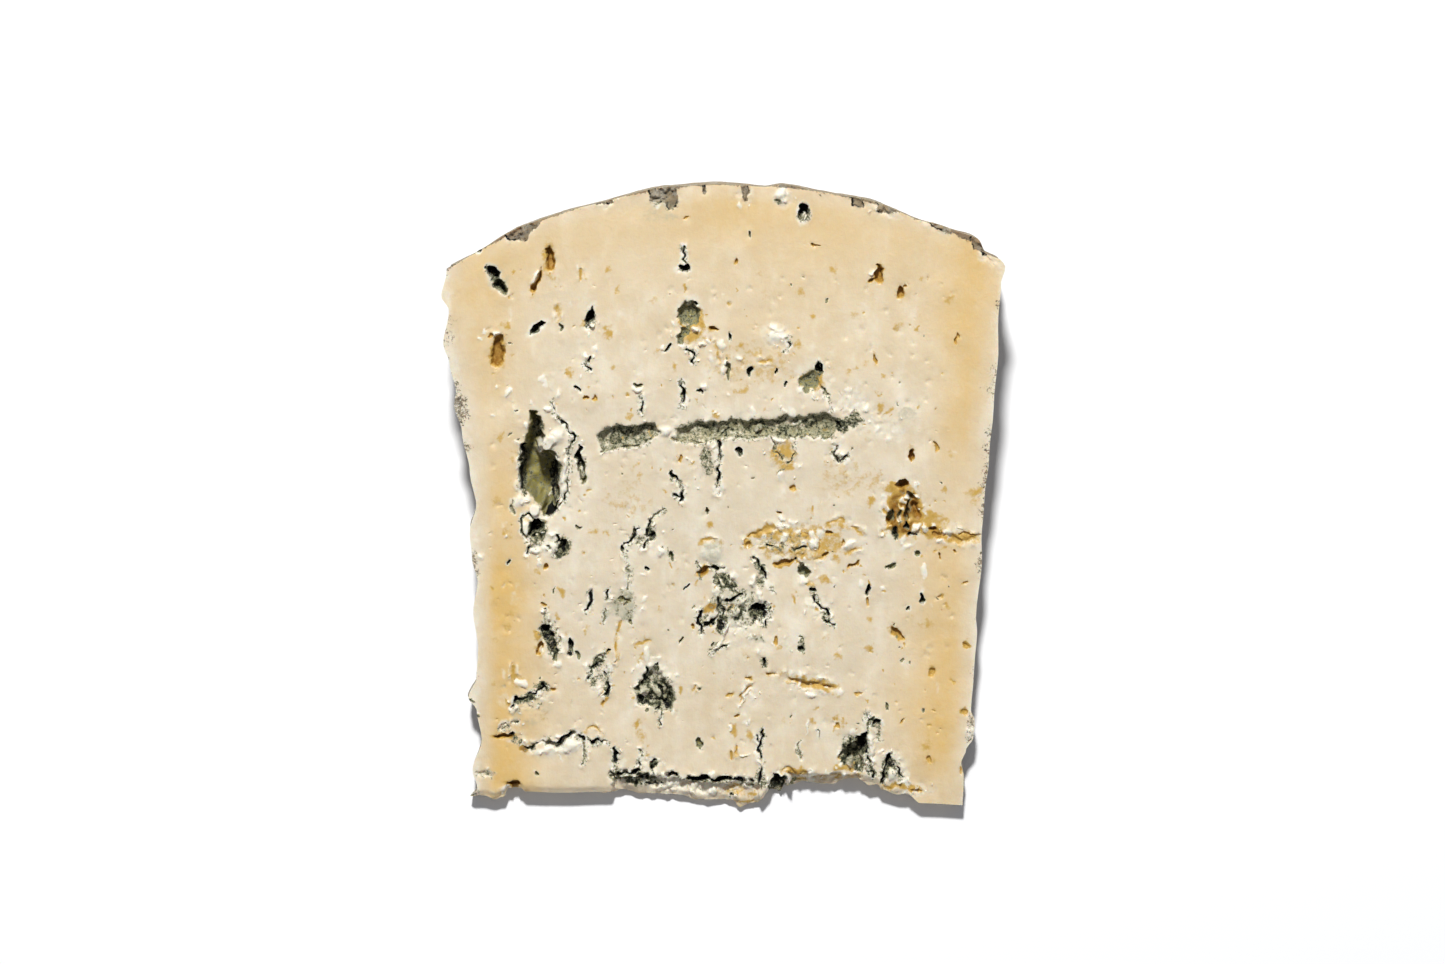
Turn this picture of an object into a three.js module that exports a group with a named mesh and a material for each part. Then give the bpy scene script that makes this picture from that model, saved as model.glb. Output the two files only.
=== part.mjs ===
// A thin wedge cut from a blue cheese wheel, lying on one cut face with the other cut face up.
// Millimetres, +Z up: +X runs along the axis of the wheel, +Y from the broken tip out to the round rind.
// A spot on the upper cut face is named by two sizes: x along the axis of the wheel, and r, its distance
// from that axis measured in the plane of the cut.

import * as THREE from 'three';
import { mergeVertices } from 'three/addons/utils/BufferGeometryUtils.js';

// Sizes of the wheel and of the wedge cut from it.
const WHEEL_RADIUS = 107.9;
const WEDGE_ANGLE = THREE.MathUtils.degToRad(11.4);
const RIND_CURVE_RADIUS = 75.7;
const RIND_CURVE_X = 1.5;
const TIP_RADIUS = 17.6;
const NEAR_RIND_RADIUS = 92;
const NEAR_TIP_RADIUS = 60;
const LEFT_FACE_X = { tip: -36.4, rind: -39.9 };
const RIGHT_FACE_X = { tip: 35.9, rind: 40.4 };

// How fine the skin is: the grid it is thinned out from, the share of that grid each wall takes,
// and how far the thinned skin may lie from the full one.
const GRID_STEPS = 256;
const WALL_STEPS = 32;
const SKIN_TOLERANCE = 0.26;
const WELD_DISTANCE = 1e-4;

// Unevenness of the skin: height, spacing and layer of random numbers of each kind.
const CUT_SWELL = { height: 0.22, spacing: 13, layer: 1 };
const CUT_CRUMB = { height: 0.1, spacing: 3.2, layer: 2 };
const RIND_BUMP = { height: 0.22, spacing: 5.0, layer: 3 };
const SIDE_BUMP = { height: 0.42, spacing: 4.2, layer: 3 };
const TIP_CRAG = { height: 0.75, spacing: 2.6, layer: 3 };

// How the relief is shaped: how far inside the edge the true outline pulls, how deep a hollow may go as a
// share of the thickness there, how high a lump may stand, the share of an oval or a crack that its sloping
// wall takes, how much wider than its line a crack is, how squarely the walls meet at a corner, and how
// the bumps of a wall grow below its upper edge and shrink again towards the table.
const EDGE_FADE = 4.5;
const DEEPEST_SHARE = 0.62;
const HIGHEST_LUMP = 0.6;
const PIT_WALL = 0.55;
const LUMP_WALL = 0.8;
const CRACK_WALL = 0.7;
const CRACK_MARGIN = 0.1;
const CORNER_SHARPNESS = 24;
const BUMP_GROWTH = 4;
const BUMP_AT_TABLE = 0.5;

// Passes it takes for x and r of a spot to agree, as each bends the outline for the other.
const SETTLING_PASSES = 4;

// Large odd factors that scramble the corner of a grid into a repeatable random number.
const SCRAMBLE = { i: 374761393, j: 668265263, layer: 1442695041, last: 1274126177 };

// Where the true outline leaves the smooth one, as [r, x] down each side and [x, r] along the tip.
const LEFT_OUTLINE = [
  [99, -39.5], [95, -40.1], [92, -40.9], [90, -39.8], [85, -40.7], [82, -39.8], [78, -38.9],
  [76, -39.2], [72, -38.1], [66, -37.0], [61, -36.1], [57, -37.1], [53, -36.8], [49.5, -36.0],
  [45, -36.7], [39.5, -36.0], [35, -36.3], [32, -37.5], [30, -36.3], [25.5, -35.6], [21, -37.0],
  [18.6, -36.3], [17, -37.6], [15, -37.6],
];
const RIGHT_OUTLINE = [
  [101, 39.8], [98.5, 39.4], [96, 41.1], [94, 40.5], [88, 40.1], [84, 40.2], [76, 39.6], [68, 39.0],
  [62, 38.4], [56, 38.0], [53, 38.1], [44, 37.3], [42, 37.5], [36, 37.1], [30, 36.7], [28.5, 37.3],
  [26, 37.1], [24, 36.0], [22.1, 35.3], [20.5, 35.7], [15, 35.4],
];
const TIP_OUTLINE = [
  [-39, 17.0], [-34.8, 17.0], [-33.8, 16.6], [-32.4, 17.2], [-31.8, 18.5], [-30.3, 18.6],
  [-29.2, 17.6], [-24, 17.4], [-15, 17.6], [-12, 17.0], [-6.5, 16.8], [-3, 16.1], [1.5, 16.0],
  [3, 15.4], [5.2, 15.6], [6.8, 17.6], [8.4, 17.3], [9.4, 18.4], [12, 19.0], [16, 18.9],
  [20.2, 19.4], [22.8, 19.0], [23.6, 17.9], [25.9, 17.1], [27.3, 17.4], [29.3, 15.9], [37, 15.6],
];
const RIND_OUTLINE = [
  [-41, 0], [-35.5, -0.2], [-30, 0.3], [-24, 0], [-17, -0.3], [-9, 0.2], [-2, 0], [6, -0.3],
  [9, 0.3], [14, -0.1], [22, 0.2], [28, -0.3], [33, 0.3], [37.6, 0.9], [39, -0.3], [41, -0.3],
];

// Round hollows of the cut face: [x, r, length, width, turn in degrees, depth].
// A turn of 0 lays the length along the axis of the wheel, 90 points it at the rind.
const PITS = [
  // mould-lined holes near the left of the rind
  [-32.7, 94.3, 3.8, 1.7, -52, 3.0], [-27, 87.4, 3.0, 1.3, 40, 2.4], [-19.3, 88.7, 3.0, 1.2, 65, 2.6],
  [-25.1, 97.5, 4.4, 1.4, 90, 1.8], [-27, 94.3, 4.2, 0.9, 72, 1.6], [-32.8, 83.8, 4.8, 1.9, 82, 1.6],
  // holes of the middle, upper part
  [-5.6, 96.0, 1.7, 1.5, 0, 2.4], [11.7, 104.0, 2.8, 1.6, 90, 1.8], [22.8, 95.2, 2.7, 1.3, 90, 1.8],
  [25.9, 92.6, 1.9, 1.0, 90, 1.4], [14.2, 81.2, 2.4, 1.1, 90, 2.2], [-1.3, 87.2, 1.9, 0.8, 0, 1.2],
  [-4.9, 89.8, 4.4, 3.0, 75, 1.7], [-7.8, 84.6, 1.8, 0.7, 55, 1.6], [4.0, 81.0, 1.6, 0.7, 90, 1.4],
  [-3.1, 77.9, 1.2, 0.7, 90, 1.2], [13.5, 99.6, 1.6, 0.5, 0, 0.9],
  [34.2, 85.8, 1.8, 0.6, 80, 0.8], [-21.0, 78.4, 1.3, 0.7, 60, 1.2], [-6.0, 77.4, 4.0, 0.7, 100, 1.5],
  // holes on either side of the pierced channel
  [-20.7, 67.2, 5.6, 1.4, 95, 3.4], [-16.0, 67.5, 2.0, 0.6, 100, 1.6], [2.5, 68.7, 1.6, 1.4, 0, 1.2],
  [27.5, 68.7, 2.2, 1.0, 90, 1.6], [-34.8, 70.0, 2.8, 1.0, 90, 0.9], [26.4, 64.0, 2.4, 1.7, 110, 2.6],
  [-0.6, 64.3, 3.4, 0.6, 95, 1.8], [17.0, 68.4, 2.6, 1.0, 80, 1.0],
  // brown hollows to the right of the middle
  [24.5, 59.2, 2.2, 1.6, 75, 1.8], [28.3, 60.2, 2.8, 1.3, 100, 1.5], [27.1, 59.0, 3.0, 0.7, 90, 2.0],
  [27.9, 56.7, 1.8, 0.9, -30, 1.8], [25.4, 56.8, 1.7, 0.9, 100, 1.6], [31.0, 57.5, 1.4, 0.9, 0, 1.2],
  [28.6, 53.9, 1.2, 0.9, 0, 0.9], [21.4, 48.0, 2.4, 0.6, 75, 1.8], [29.5, 47.0, 2.0, 0.7, 95, 1.9],
  [25.7, 41.7, 2.6, 1.2, -50, 0.9], [19.3, 52.1, 1.8, 0.6, 40, 0.9], [12.0, 51.1, 2.0, 1.6, 100, 1.6],
  // holes of the middle, lower part
  [-0.9, 51.3, 1.3, 0.8, 0, 1.6], [-2.6, 51.0, 1.8, 1.2, 20, 1.3], [-2.3, 60.0, 1.4, 0.5, 95, 1.0],
  [-5.3, 48.8, 1.2, 0.5, 70, 1.2], [5.2, 45.4, 2.6, 1.6, 10, 2.2], [-0.3, 44.0, 5.4, 1.4, 92, 1.7],
  [-10.6, 56.8, 2.2, 1.4, 110, 1.3], [6.3, 37.1, 1.6, 0.8, 95, 1.1], [-3.3, 25.0, 1.6, 0.9, 95, 0.9],
  [11.7, 39.4, 1.0, 0.7, 90, 0.8], [15.3, 43.3, 1.2, 0.7, 0, 1.2],
  // holes of the left side, below the large hollow
  [-27.2, 57.6, 3.0, 2.0, 80, 3.6], [-23.0, 54.8, 1.8, 1.4, 60, 1.3],
  [-25.6, 40.8, 4.6, 1.6, 110, 1.6], [-26.9, 39.3, 2.0, 1.2, 80, 1.1],
  [-22.6, 39.5, 3.2, 1.2, 92, 1.4], [-18.4, 36.8, 3.2, 1.2, 60, 1.3], [-17.0, 33.4, 3.2, 0.8, 85, 1.2],
  [-26.2, 33.8, 1.8, 1.1, -20, 1.0], [-32.3, 26.2, 3.4, 0.9, 4, 1.2], [-27.4, 20.5, 1.0, 0.7, -20, 0.6],
  [-15.9, 19.7, 1.5, 1.3, 0, 0.9], [-30.6, 18.9, 2.0, 0.9, 0, 1.0],
];

// Cracks of the cut face: how deep, then [x, r, half width] along each.
const CRACKS = [
  { depth: 1.6, line: [[-19.6, 48, 0.2], [-19.6, 46, 0.25], [-20.5, 45, 0.25]] },
  { depth: 1.5, line: [[-0.9, 71, 0.2], [-0.6, 66.5, 0.3], [-0.7, 63, 0.35]] },
  { depth: 1.3, line: [[-7.3, 65.6, 0.2], [-6.1, 63.6, 0.3], [-5.9, 61.8, 0.25]] },
  { depth: 1.4, line: [[-15.8, 24.5, 0.25], [-15.6, 23.6, 0.3], [-15.9, 21.5, 0.25]] },
  { depth: 1.4, line: [[6, 26.8, 0.25], [5.3, 24.2, 0.3], [5.6, 22, 0.3], [5.4, 19.5, 0.3]] },
  { depth: 1.7, line: [[4.7, 53.3, 0.25], [5.4, 52.3, 0.35], [6.1, 50.8, 0.3], [7.4, 47.9, 0.2]] },
  { depth: 1.4, line: [[3, 47.6, 0.25], [1.7, 46.8, 0.4], [-0.5, 46.3, 0.3], [-3, 45.2, 0.3],
    [-3.4, 43.2, 0.35], [-2, 43, 0.45], [-0.6, 44.5, 0.3]] },
  { depth: 1.3, line: [[6, 54.4, 0.2], [8.3, 54.7, 0.25], [10.4, 54.4, 0.25], [12.1, 54.6, 0.25]] },
  { depth: 1.3, line: [[12.9, 48.6, 0.3], [13.7, 46.6, 0.35], [15, 45.2, 0.3], [15.4, 43.4, 0.3]] },
  { depth: 1.4, line: [[31, 56.8, 0.4], [33, 56.2, 0.35], [35.3, 55.6, 0.35], [37.2, 56.3, 0.4]] },
  { depth: 1.5, line: [[6.5, 35.6, 0.25], [9, 35.2, 0.4], [12.5, 34.3, 0.7], [15.3, 33.6, 0.6],
    [16.8, 32.8, 0.4]] },
  { depth: 1.2, line: [[4.4, 33.7, 0.25], [3.2, 32.5, 0.4], [2.9, 31.2, 0.3]] },
  { depth: 1.9, line: [[-31, 30.5, 0.3], [-30.4, 31.9, 0.4], [-29, 32.1, 0.35], [-27.4, 33.2, 0.4],
    [-25.2, 33.5, 0.4]] },
  { depth: 2.3, line: [[-30, 24.4, 0.5], [-28.3, 24.2, 0.5], [-26.2, 25.4, 0.35], [-24.7, 24.8, 0.5],
    [-23.7, 25.3, 0.45], [-23, 26.3, 0.45], [-21.5, 26.4, 0.45], [-20.7, 25.7, 0.35]] },
  { depth: 1.3, line: [[-19.8, 25.4, 0.25], [-18.3, 25.7, 0.25], [-17.3, 25.3, 0.2]] },
  { depth: 1.7, line: [[-15.6, 20.1, 0.35], [-14, 20.6, 0.45], [-12.3, 20.6, 0.4]] },
  { depth: 1.7, line: [[-8.4, 20.3, 0.4], [-7, 20.1, 0.4], [-3.6, 19.4, 0.45], [-2, 19.7, 0.4],
    [-0.8, 19.3, 0.45], [0.6, 19.8, 0.45], [2.8, 19.3, 0.45], [4.6, 19.5, 0.35]] },
  { depth: 1.2, line: [[-12.3, 18.7, 0.3], [-11, 18.5, 0.35], [-9, 18.9, 0.35]] },
  { depth: 1.0, line: [[-11.9, 24.2, 0.25], [-12.4, 22.5, 0.3], [-10.3, 22.3, 0.4], [-10.3, 20.8, 0.3]] },
  { depth: 1.6, line: [[24.7, 23.3, 0.25], [24.4, 22.1, 0.45], [23.6, 20.4, 0.45], [23.5, 18.4, 0.5]] },
  { depth: 1.6, line: [[21.4, 29.6, 0.3], [22.8, 28.6, 0.6], [23.3, 28.4, 0.4]] },
];

// Broad hollows of the cut face: how deep, how wide their slope is, and the [x, r] corners round each.
const HOLLOWS = [
  // the large hollow at the left, under a bridge of curd
  { depth: 5.2, slope: 1.1, corners: [[-28, 75.4], [-28.9, 72], [-29.7, 68], [-29.7, 64], [-28.3, 62.6],
    [-26.9, 61], [-26.2, 59.3], [-24.6, 60.2], [-23.8, 63.5], [-23.7, 67], [-24.8, 69.4],
    [-26.2, 72], [-26.4, 74.6]] },
  // the channel left by a piercing needle, in two lengths with a plug of curd between them
  { depth: 2.3, slope: 0.9, corners: [[-18.5, 71.6], [-17.2, 72.9], [-14.5, 72.9], [-10, 73.5],
    [-8.9, 72], [-10.5, 70.5], [-14, 69.6], [-17.5, 68.9]] },
  { depth: 2.2, slope: 0.9, corners: [[-7.5, 72.4], [-3, 73.6], [4, 74.0], [10, 74.5], [15.5, 74.9],
    [17.6, 73], [16, 71.3], [10, 71.4], [4, 71.7], [-3, 70.5], [-7, 70.9]] },
  // the mouldy leaf-shaped hollow
  { depth: 1.2, slope: 1.2, corners: [[-13.2, 33.6], [-11.4, 36], [-9.6, 37.2], [-8.4, 35.2],
    [-6.5, 32.4], [-7.4, 29.6], [-10, 30], [-12.7, 31.2]] },
  // the deep recess at the lower right
  { depth: 2.9, slope: 0.9, corners: [[16.8, 23.4], [18.5, 24.5], [20, 26.1], [21.3, 27.2], [21.2, 24],
    [20.9, 20.4], [19.5, 21], [18.2, 22.2]] },
  // the notch at the broken tip
  { depth: 2.6, slope: 0.9, corners: [[6.6, 17], [6.9, 19.2], [8.4, 20.2], [9.4, 19.8], [9.8, 18.6],
    [8.8, 16.5]] },
  // the crumbly terrace of the broken tip, below its long crack
  { depth: 1.4, slope: 0.6, corners: [[-16.6, 19.9], [-12, 20.4], [-8.4, 20.1], [-3, 19.3], [5.6, 19.2],
    [6.2, 14.5], [-16.6, 14.5]] },
  // the ledge along the broken tip
  { depth: 1.3, slope: 0.6, corners: [[9.6, 20.8], [13, 20.4], [15, 20.5], [20.6, 20.3], [20.6, 18],
    [9.4, 17]] },
];

// Lumps and flaps of curd that stand up: [x, r, length, width, turn in degrees, height].
const LUMPS = [
  [-27.2, 95.0, 3.2, 1.0, 75, 0.5], [-25.7, 69.8, 5.6, 1.9, 48, 3.4], [-23.2, 65.0, 9.0, 0.8, 88, 0.4],
  [-20.5, 65.5, 1.8, 1.0, 90, 2.4], [-29.0, 61.4, 3.6, 2.8, 20, 0.5], [-28.8, 57.6, 2.8, 1.3, 85, 1.4],
  [-1.5, 53.9, 4.2, 3.8, 0, 0.4], [-24.7, 54.6, 2.4, 2.0, 0, 0.6], [5.4, 72.5, 1.6, 1.4, 0, 1.4],
  [8.0, 86.4, 4.0, 3.0, 80, 0.4], [8.6, 107.0, 2.6, 2.4, 0, 0.6], [13.4, 55.3, 2.4, 1.9, 70, 0.5],
  [28.4, 57.5, 2.0, 1.2, 40, 0.9], [30.0, 57.5, 1.4, 1.4, 0, 0.7], [7.6, 56.0, 3.0, 2.0, 20, 0.4],
  [4.6, 49.4, 2.6, 1.6, 80, 0.6], [0.3, 42.0, 3.6, 0.9, 70, 1.0], [-22.5, 24.4, 4.4, 3.0, 20, 0.5],
  [-26.0, 23.8, 4.6, 2.0, 10, 0.4], [22.0, 24.0, 7.4, 1.4, 98, 0.5], [18.9, 22.1, 1.8, 1.4, 60, 1.2],
  [25.1, 20.4, 2.8, 2.2, 80, 0.6], [-9.9, 20.4, 1.2, 1.0, 90, 0.8], [9.8, 19.6, 1.6, 1.0, 90, 0.9],
];

// A repeatable random number from 0 to 1 at each corner of a grid.
function latticeValue(i, j, layer) {
  let h = Math.imul(i, SCRAMBLE.i) ^ Math.imul(j, SCRAMBLE.j) ^ Math.imul(layer, SCRAMBLE.layer);
  h = Math.imul(h ^ (h >>> 13), SCRAMBLE.last);
  return ((h ^ (h >>> 16)) >>> 0) / 2 ** 32;
}

const ease = (t) => t * t * (3 - 2 * t);
const clamp01 = (t) => Math.min(1, Math.max(0, t));
const mix = (a, b, t) => a + (b - a) * t;

// Smooth unevenness of one kind at (a, b), repeatable and different on each layer.
function unevenness({ height, spacing, layer }, a, b) {
  const [i, j] = [Math.floor(a / spacing), Math.floor(b / spacing)];
  const [s, t] = [ease(a / spacing - i), ease(b / spacing - j)];
  const low = mix(latticeValue(i, j, layer), latticeValue(i + 1, j, layer), s);
  const high = mix(latticeValue(i, j + 1, layer), latticeValue(i + 1, j + 1, layer), s);
  return height * (2 * mix(low, high, t) - 1);
}

// The value of an outline at a place along it, with rounded turns between its points.
function along(outline, place) {
  const rising = outline[0][0] < outline[1][0];
  const inOrder = rising ? outline : [...outline].reverse();
  let k = 0;
  while (k < inOrder.length - 2 && inOrder[k + 1][0] < place) k += 1;
  const [[a, from], [b, to]] = [inOrder[k], inOrder[k + 1]];
  return mix(from, to, ease(clamp01((place - a) / (b - a))));
}

// Smooth outline of the cut face: the two flat faces of the wheel, dished a little, and the round rind.
const dish = (r) => ease(clamp01((r - NEAR_TIP_RADIUS) / (NEAR_RIND_RADIUS - NEAR_TIP_RADIUS)));
const leftFace = (r) => mix(LEFT_FACE_X.tip, LEFT_FACE_X.rind, dish(r));
const rightFace = (r) =>
  mix(RIGHT_FACE_X.tip, RIGHT_FACE_X.rind, clamp01((r - TIP_RADIUS) / (NEAR_RIND_RADIUS - TIP_RADIUS)));
const rindRadius = (x) =>
  WHEEL_RADIUS - RIND_CURVE_RADIUS + Math.sqrt(RIND_CURVE_RADIUS ** 2 - (x - RIND_CURVE_X) ** 2);

// The spot [x, r] of the cut face at shares u across it and v from the tip to the rind.
// The true outline pulls on a narrow band inside the edge only.
function faceSpot(u, v) {
  let x = mix(LEFT_FACE_X.tip, RIGHT_FACE_X.tip, u);
  let r = TIP_RADIUS;
  for (let pass = 0; pass < SETTLING_PASSES; pass += 1) {
    r = mix(TIP_RADIUS, rindRadius(x), v);
    x = mix(leftFace(r), rightFace(r), u);
  }
  const hold = (distance) => ease(clamp01(1 - distance / EDGE_FADE));
  const dx = (along(LEFT_OUTLINE, r) - leftFace(r)) * hold(x - leftFace(r))
    + (along(RIGHT_OUTLINE, r) - rightFace(r)) * hold(rightFace(r) - x);
  const dr = (along(TIP_OUTLINE, x) - TIP_RADIUS) * hold(r - TIP_RADIUS)
    + along(RIND_OUTLINE, x) * hold(rindRadius(x) - r);
  return [x + dx, r + dr];
}

// Depth at (x, r) of one round hollow or height of one lump, 0 outside it.
function ovalRelief([cx, cr, length, width, turn, size], x, r, wall) {
  const angle = THREE.MathUtils.degToRad(turn);
  const dx = x - cx;
  const dr = r - cr;
  const lengthwise = (dx * Math.cos(angle) + dr * Math.sin(angle)) / (length / 2);
  const sideways = (dr * Math.cos(angle) - dx * Math.sin(angle)) / (width / 2);
  return size * ease(clamp01((1 - Math.hypot(lengthwise, sideways)) / wall));
}

// Nearest point of the stretch a-b: the distance to it and how far along the stretch it lies.
function nearest(a, b, x, r) {
  const [dx, dr] = [b[0] - a[0], b[1] - a[1]];
  const t = clamp01(((x - a[0]) * dx + (r - a[1]) * dr) / (dx * dx + dr * dr));
  return [Math.hypot(x - a[0] - dx * t, r - a[1] - dr * t), t];
}

function crackDepth({ depth, line }, x, r) {
  let deepest = 0;
  for (let k = 0; k + 1 < line.length; k += 1) {
    const [distance, t] = nearest(line[k], line[k + 1], x, r);
    const halfWidth = mix(line[k][2], line[k + 1][2], t) + CRACK_MARGIN;
    deepest = Math.max(deepest, depth * ease(clamp01((1 - distance / halfWidth) / CRACK_WALL)));
  }
  return deepest;
}

function hollowDepth({ depth, slope, corners }, x, r) {
  let inside = false;
  let edge = Infinity;
  for (let k = 0; k < corners.length; k += 1) {
    const a = corners[k];
    const b = corners[(k + 1) % corners.length];
    edge = Math.min(edge, nearest(a, b, x, r)[0]);
    const crosses = a[1] > r !== b[1] > r;
    if (crosses && x < a[0] + ((r - a[1]) * (b[0] - a[0])) / (b[1] - a[1])) inside = !inside;
  }
  return inside ? depth * ease(clamp01(edge / slope)) : 0;
}

// How far the cut face lies below its flat plane at (x, r); lumps stand above it.
function faceDepth(x, r) {
  let depth = 0;
  for (const pit of PITS) depth = Math.max(depth, ovalRelief(pit, x, r, PIT_WALL));
  for (const crack of CRACKS) depth = Math.max(depth, crackDepth(crack, x, r));
  for (const hollow of HOLLOWS) depth = Math.max(depth, hollowDepth(hollow, x, r));
  depth = Math.min(depth, DEEPEST_SHARE * r * Math.sin(WEDGE_ANGLE));
  for (const lump of LUMPS) depth = Math.max(depth - ovalRelief(lump, x, r, LUMP_WALL), -HIGHEST_LUMP);
  return depth + unevenness(CUT_SWELL, x, r) + unevenness(CUT_CRUMB, x, r);
}

// A point of the wedge: the spot (x, r) turned about the axis of the wheel to an angle above the table.
const wedgePoint = (x, r, angle) => new THREE.Vector3(x, r * Math.cos(angle), r * Math.sin(angle));

// A point of the cut face, pressed in or raised by its relief.
function facePoint(u, v) {
  const [x, r] = faceSpot(u, v);
  const inward = new THREE.Vector3(0, Math.sin(WEDGE_ANGLE), -Math.cos(WEDGE_ANGLE));
  return wedgePoint(x, r, WEDGE_ANGLE).addScaledVector(inward, faceDepth(x, r));
}

// A point of the wall round the cut face: across and up are shares of the outline square from -1 to 1,
// drop runs from 0 at the upper edge to 1 on the table. Bumps grow from the edge and end at the table.
function wallPoint(across, up, drop) {
  const [x, r] = faceSpot((across + 1) / 2, (up + 1) / 2);
  const edge = facePoint((across + 1) / 2, (up + 1) / 2);
  const angle = WEDGE_ANGLE * (1 - drop);
  const point = wedgePoint(x, r, angle);
  const atEdge = wedgePoint(x, r, WEDGE_ANGLE);
  point.addScaledVector(edge.sub(atEdge), 1 - drop);
  const outX = Math.sign(across) * Math.abs(across) ** CORNER_SHARPNESS;
  const outR = Math.sign(up) * Math.abs(up) ** CORNER_SHARPNESS;
  const height = r * angle;
  const isSide = Math.abs(outX) > Math.abs(outR);
  const endBump = up < 0 ? TIP_CRAG : RIND_BUMP;
  const fade = ease(clamp01(BUMP_GROWTH * drop)) * mix(1, BUMP_AT_TABLE, drop);
  const push = fade * (isSide ? unevenness(SIDE_BUMP, r + x, height) : unevenness(endBump, x - r, height));
  point.x += outX * push;
  point.y += outR * push;
  return point;
}

// The skin over the cut face and its four walls as one square sheet of points.
function skinPoint(column, row) {
  const inner = GRID_STEPS / 2 - WALL_STEPS;
  const a = (column - GRID_STEPS / 2) / inner;
  const b = (row - GRID_STEPS / 2) / inner;
  const reach = Math.max(Math.abs(a), Math.abs(b));
  if (reach <= 1) return facePoint((a + 1) / 2, (b + 1) / 2);
  return wallPoint(a / reach, b / reach, ((reach - 1) * inner) / WALL_STEPS);
}

// Right-angled triangles of the sheet, halved again and again only where the skin bends.
function thinnedTriangles(points, steps, tolerance) {
  const at = (p) => p[1] * (steps + 1) + p[0];
  const middle = (p, q) => [(p[0] + q[0]) / 2, (p[1] + q[1]) / 2];
  const levels = [[
    [[0, 0], [steps, steps], [steps, 0]],
    [[steps, steps], [0, 0], [0, steps]],
  ]];
  const levelCount = 2 * Math.log2(steps);
  for (let level = 1; level < levelCount; level += 1) {
    levels.push(levels[level - 1].flatMap(([a, b, c]) => [[c, a, middle(a, b)], [b, c, middle(a, b)]]));
  }
  const misfit = new Float64Array(points.length);
  const chord = new THREE.Line3();
  const foot = new THREE.Vector3();
  for (let level = levelCount - 1; level >= 0; level -= 1) {
    for (const [a, b, c] of levels[level]) {
      const m = at(middle(a, b));
      chord.set(points[at(a)], points[at(b)]).closestPointToPoint(points[m], true, foot);
      const halves = level + 1 < levelCount ? [at(middle(c, a)), at(middle(b, c))] : [];
      misfit[m] = Math.max(misfit[m], foot.distanceTo(points[m]), ...halves.map((h) => misfit[h]));
    }
  }
  const kept = [];
  const visit = (a, b, c, level) => {
    const m = middle(a, b);
    if (level < levelCount && misfit[at(m)] > tolerance) {
      visit(c, a, m, level + 1);
      visit(b, c, m, level + 1);
    } else kept.push([at(a), at(c), at(b)]);
  };
  levels[0].forEach(([a, b, c]) => visit(a, b, c, 0));
  return kept;
}

// The flat side that rests on the table, laid between the points where the walls end.
function restingTriangles(points, triangles) {
  const side = GRID_STEPS + 1;
  const used = new Set(triangles.flat());
  const ring = [];
  for (let k = 0; k < GRID_STEPS; k += 1) ring.push(k);
  for (let k = 0; k < GRID_STEPS; k += 1) ring.push(k * side + GRID_STEPS);
  for (let k = GRID_STEPS; k > 0; k -= 1) ring.push(GRID_STEPS * side + k);
  for (let k = GRID_STEPS; k > 0; k -= 1) ring.push(k * side);
  const rim = ring.filter((index) => used.has(index));
  const flat = rim.map((index) => new THREE.Vector2(points[index].x, points[index].y));
  return THREE.ShapeUtils.triangulateShape(flat, []).map(([a, b, c]) => [rim[a], rim[c], rim[b]]);
}

function wedgeGeometry() {
  const points = [];
  for (let row = 0; row <= GRID_STEPS; row += 1) {
    for (let column = 0; column <= GRID_STEPS; column += 1) points.push(skinPoint(column, row));
  }
  const skin = thinnedTriangles(points, GRID_STEPS, SKIN_TOLERANCE);
  const faces = [...skin, ...restingTriangles(points, skin)];
  const corners = faces.flat().flatMap((index) => points[index].toArray());
  const soup = new THREE.BufferGeometry();
  soup.setAttribute('position', new THREE.Float32BufferAttribute(corners, 3));
  return mergeVertices(soup, WELD_DISTANCE);
}

// The wedge stands centred over the origin, its flat side on the table.
function cheeseWedge() {
  const geometry = wedgeGeometry();
  geometry.computeBoundingBox();
  const middle = geometry.boundingBox.getCenter(new THREE.Vector3());
  geometry.translate(-middle.x, -middle.y, -geometry.boundingBox.min.z);
  geometry.computeVertexNormals();
  const ivoryPaste = new THREE.MeshStandardMaterial({ color: 0xe9dcc3, roughness: 0.62, metalness: 0 });
  const wedge = new THREE.Mesh(geometry, ivoryPaste);
  wedge.name = 'blue_cheese_wedge';
  return wedge;
}

const group = new THREE.Group();
group.add(cheeseWedge());

export default group;
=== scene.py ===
# A thin wedge of blue cheese lying on one cut face on a plain white table, seen from straight above.
from collections import namedtuple
import math

import bmesh
import bpy
import numpy as np
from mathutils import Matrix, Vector


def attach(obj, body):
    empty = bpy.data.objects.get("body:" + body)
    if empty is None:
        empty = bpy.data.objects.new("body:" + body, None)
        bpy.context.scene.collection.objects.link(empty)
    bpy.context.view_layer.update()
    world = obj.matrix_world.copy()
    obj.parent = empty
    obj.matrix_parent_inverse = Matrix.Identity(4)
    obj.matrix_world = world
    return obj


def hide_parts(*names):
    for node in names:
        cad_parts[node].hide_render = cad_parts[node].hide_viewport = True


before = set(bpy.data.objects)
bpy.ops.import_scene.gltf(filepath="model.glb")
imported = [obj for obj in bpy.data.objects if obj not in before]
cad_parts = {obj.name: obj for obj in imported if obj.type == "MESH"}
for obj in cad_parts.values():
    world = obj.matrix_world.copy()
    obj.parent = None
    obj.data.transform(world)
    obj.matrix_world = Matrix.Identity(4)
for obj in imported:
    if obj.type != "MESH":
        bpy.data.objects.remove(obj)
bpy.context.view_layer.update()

# Lengths are in millimetres until the mesh is made. A spot on a cut face is named by x, along the axis of
# the wheel, and r, its distance from that axis in the plane of the cut.
MM = 0.001

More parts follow.
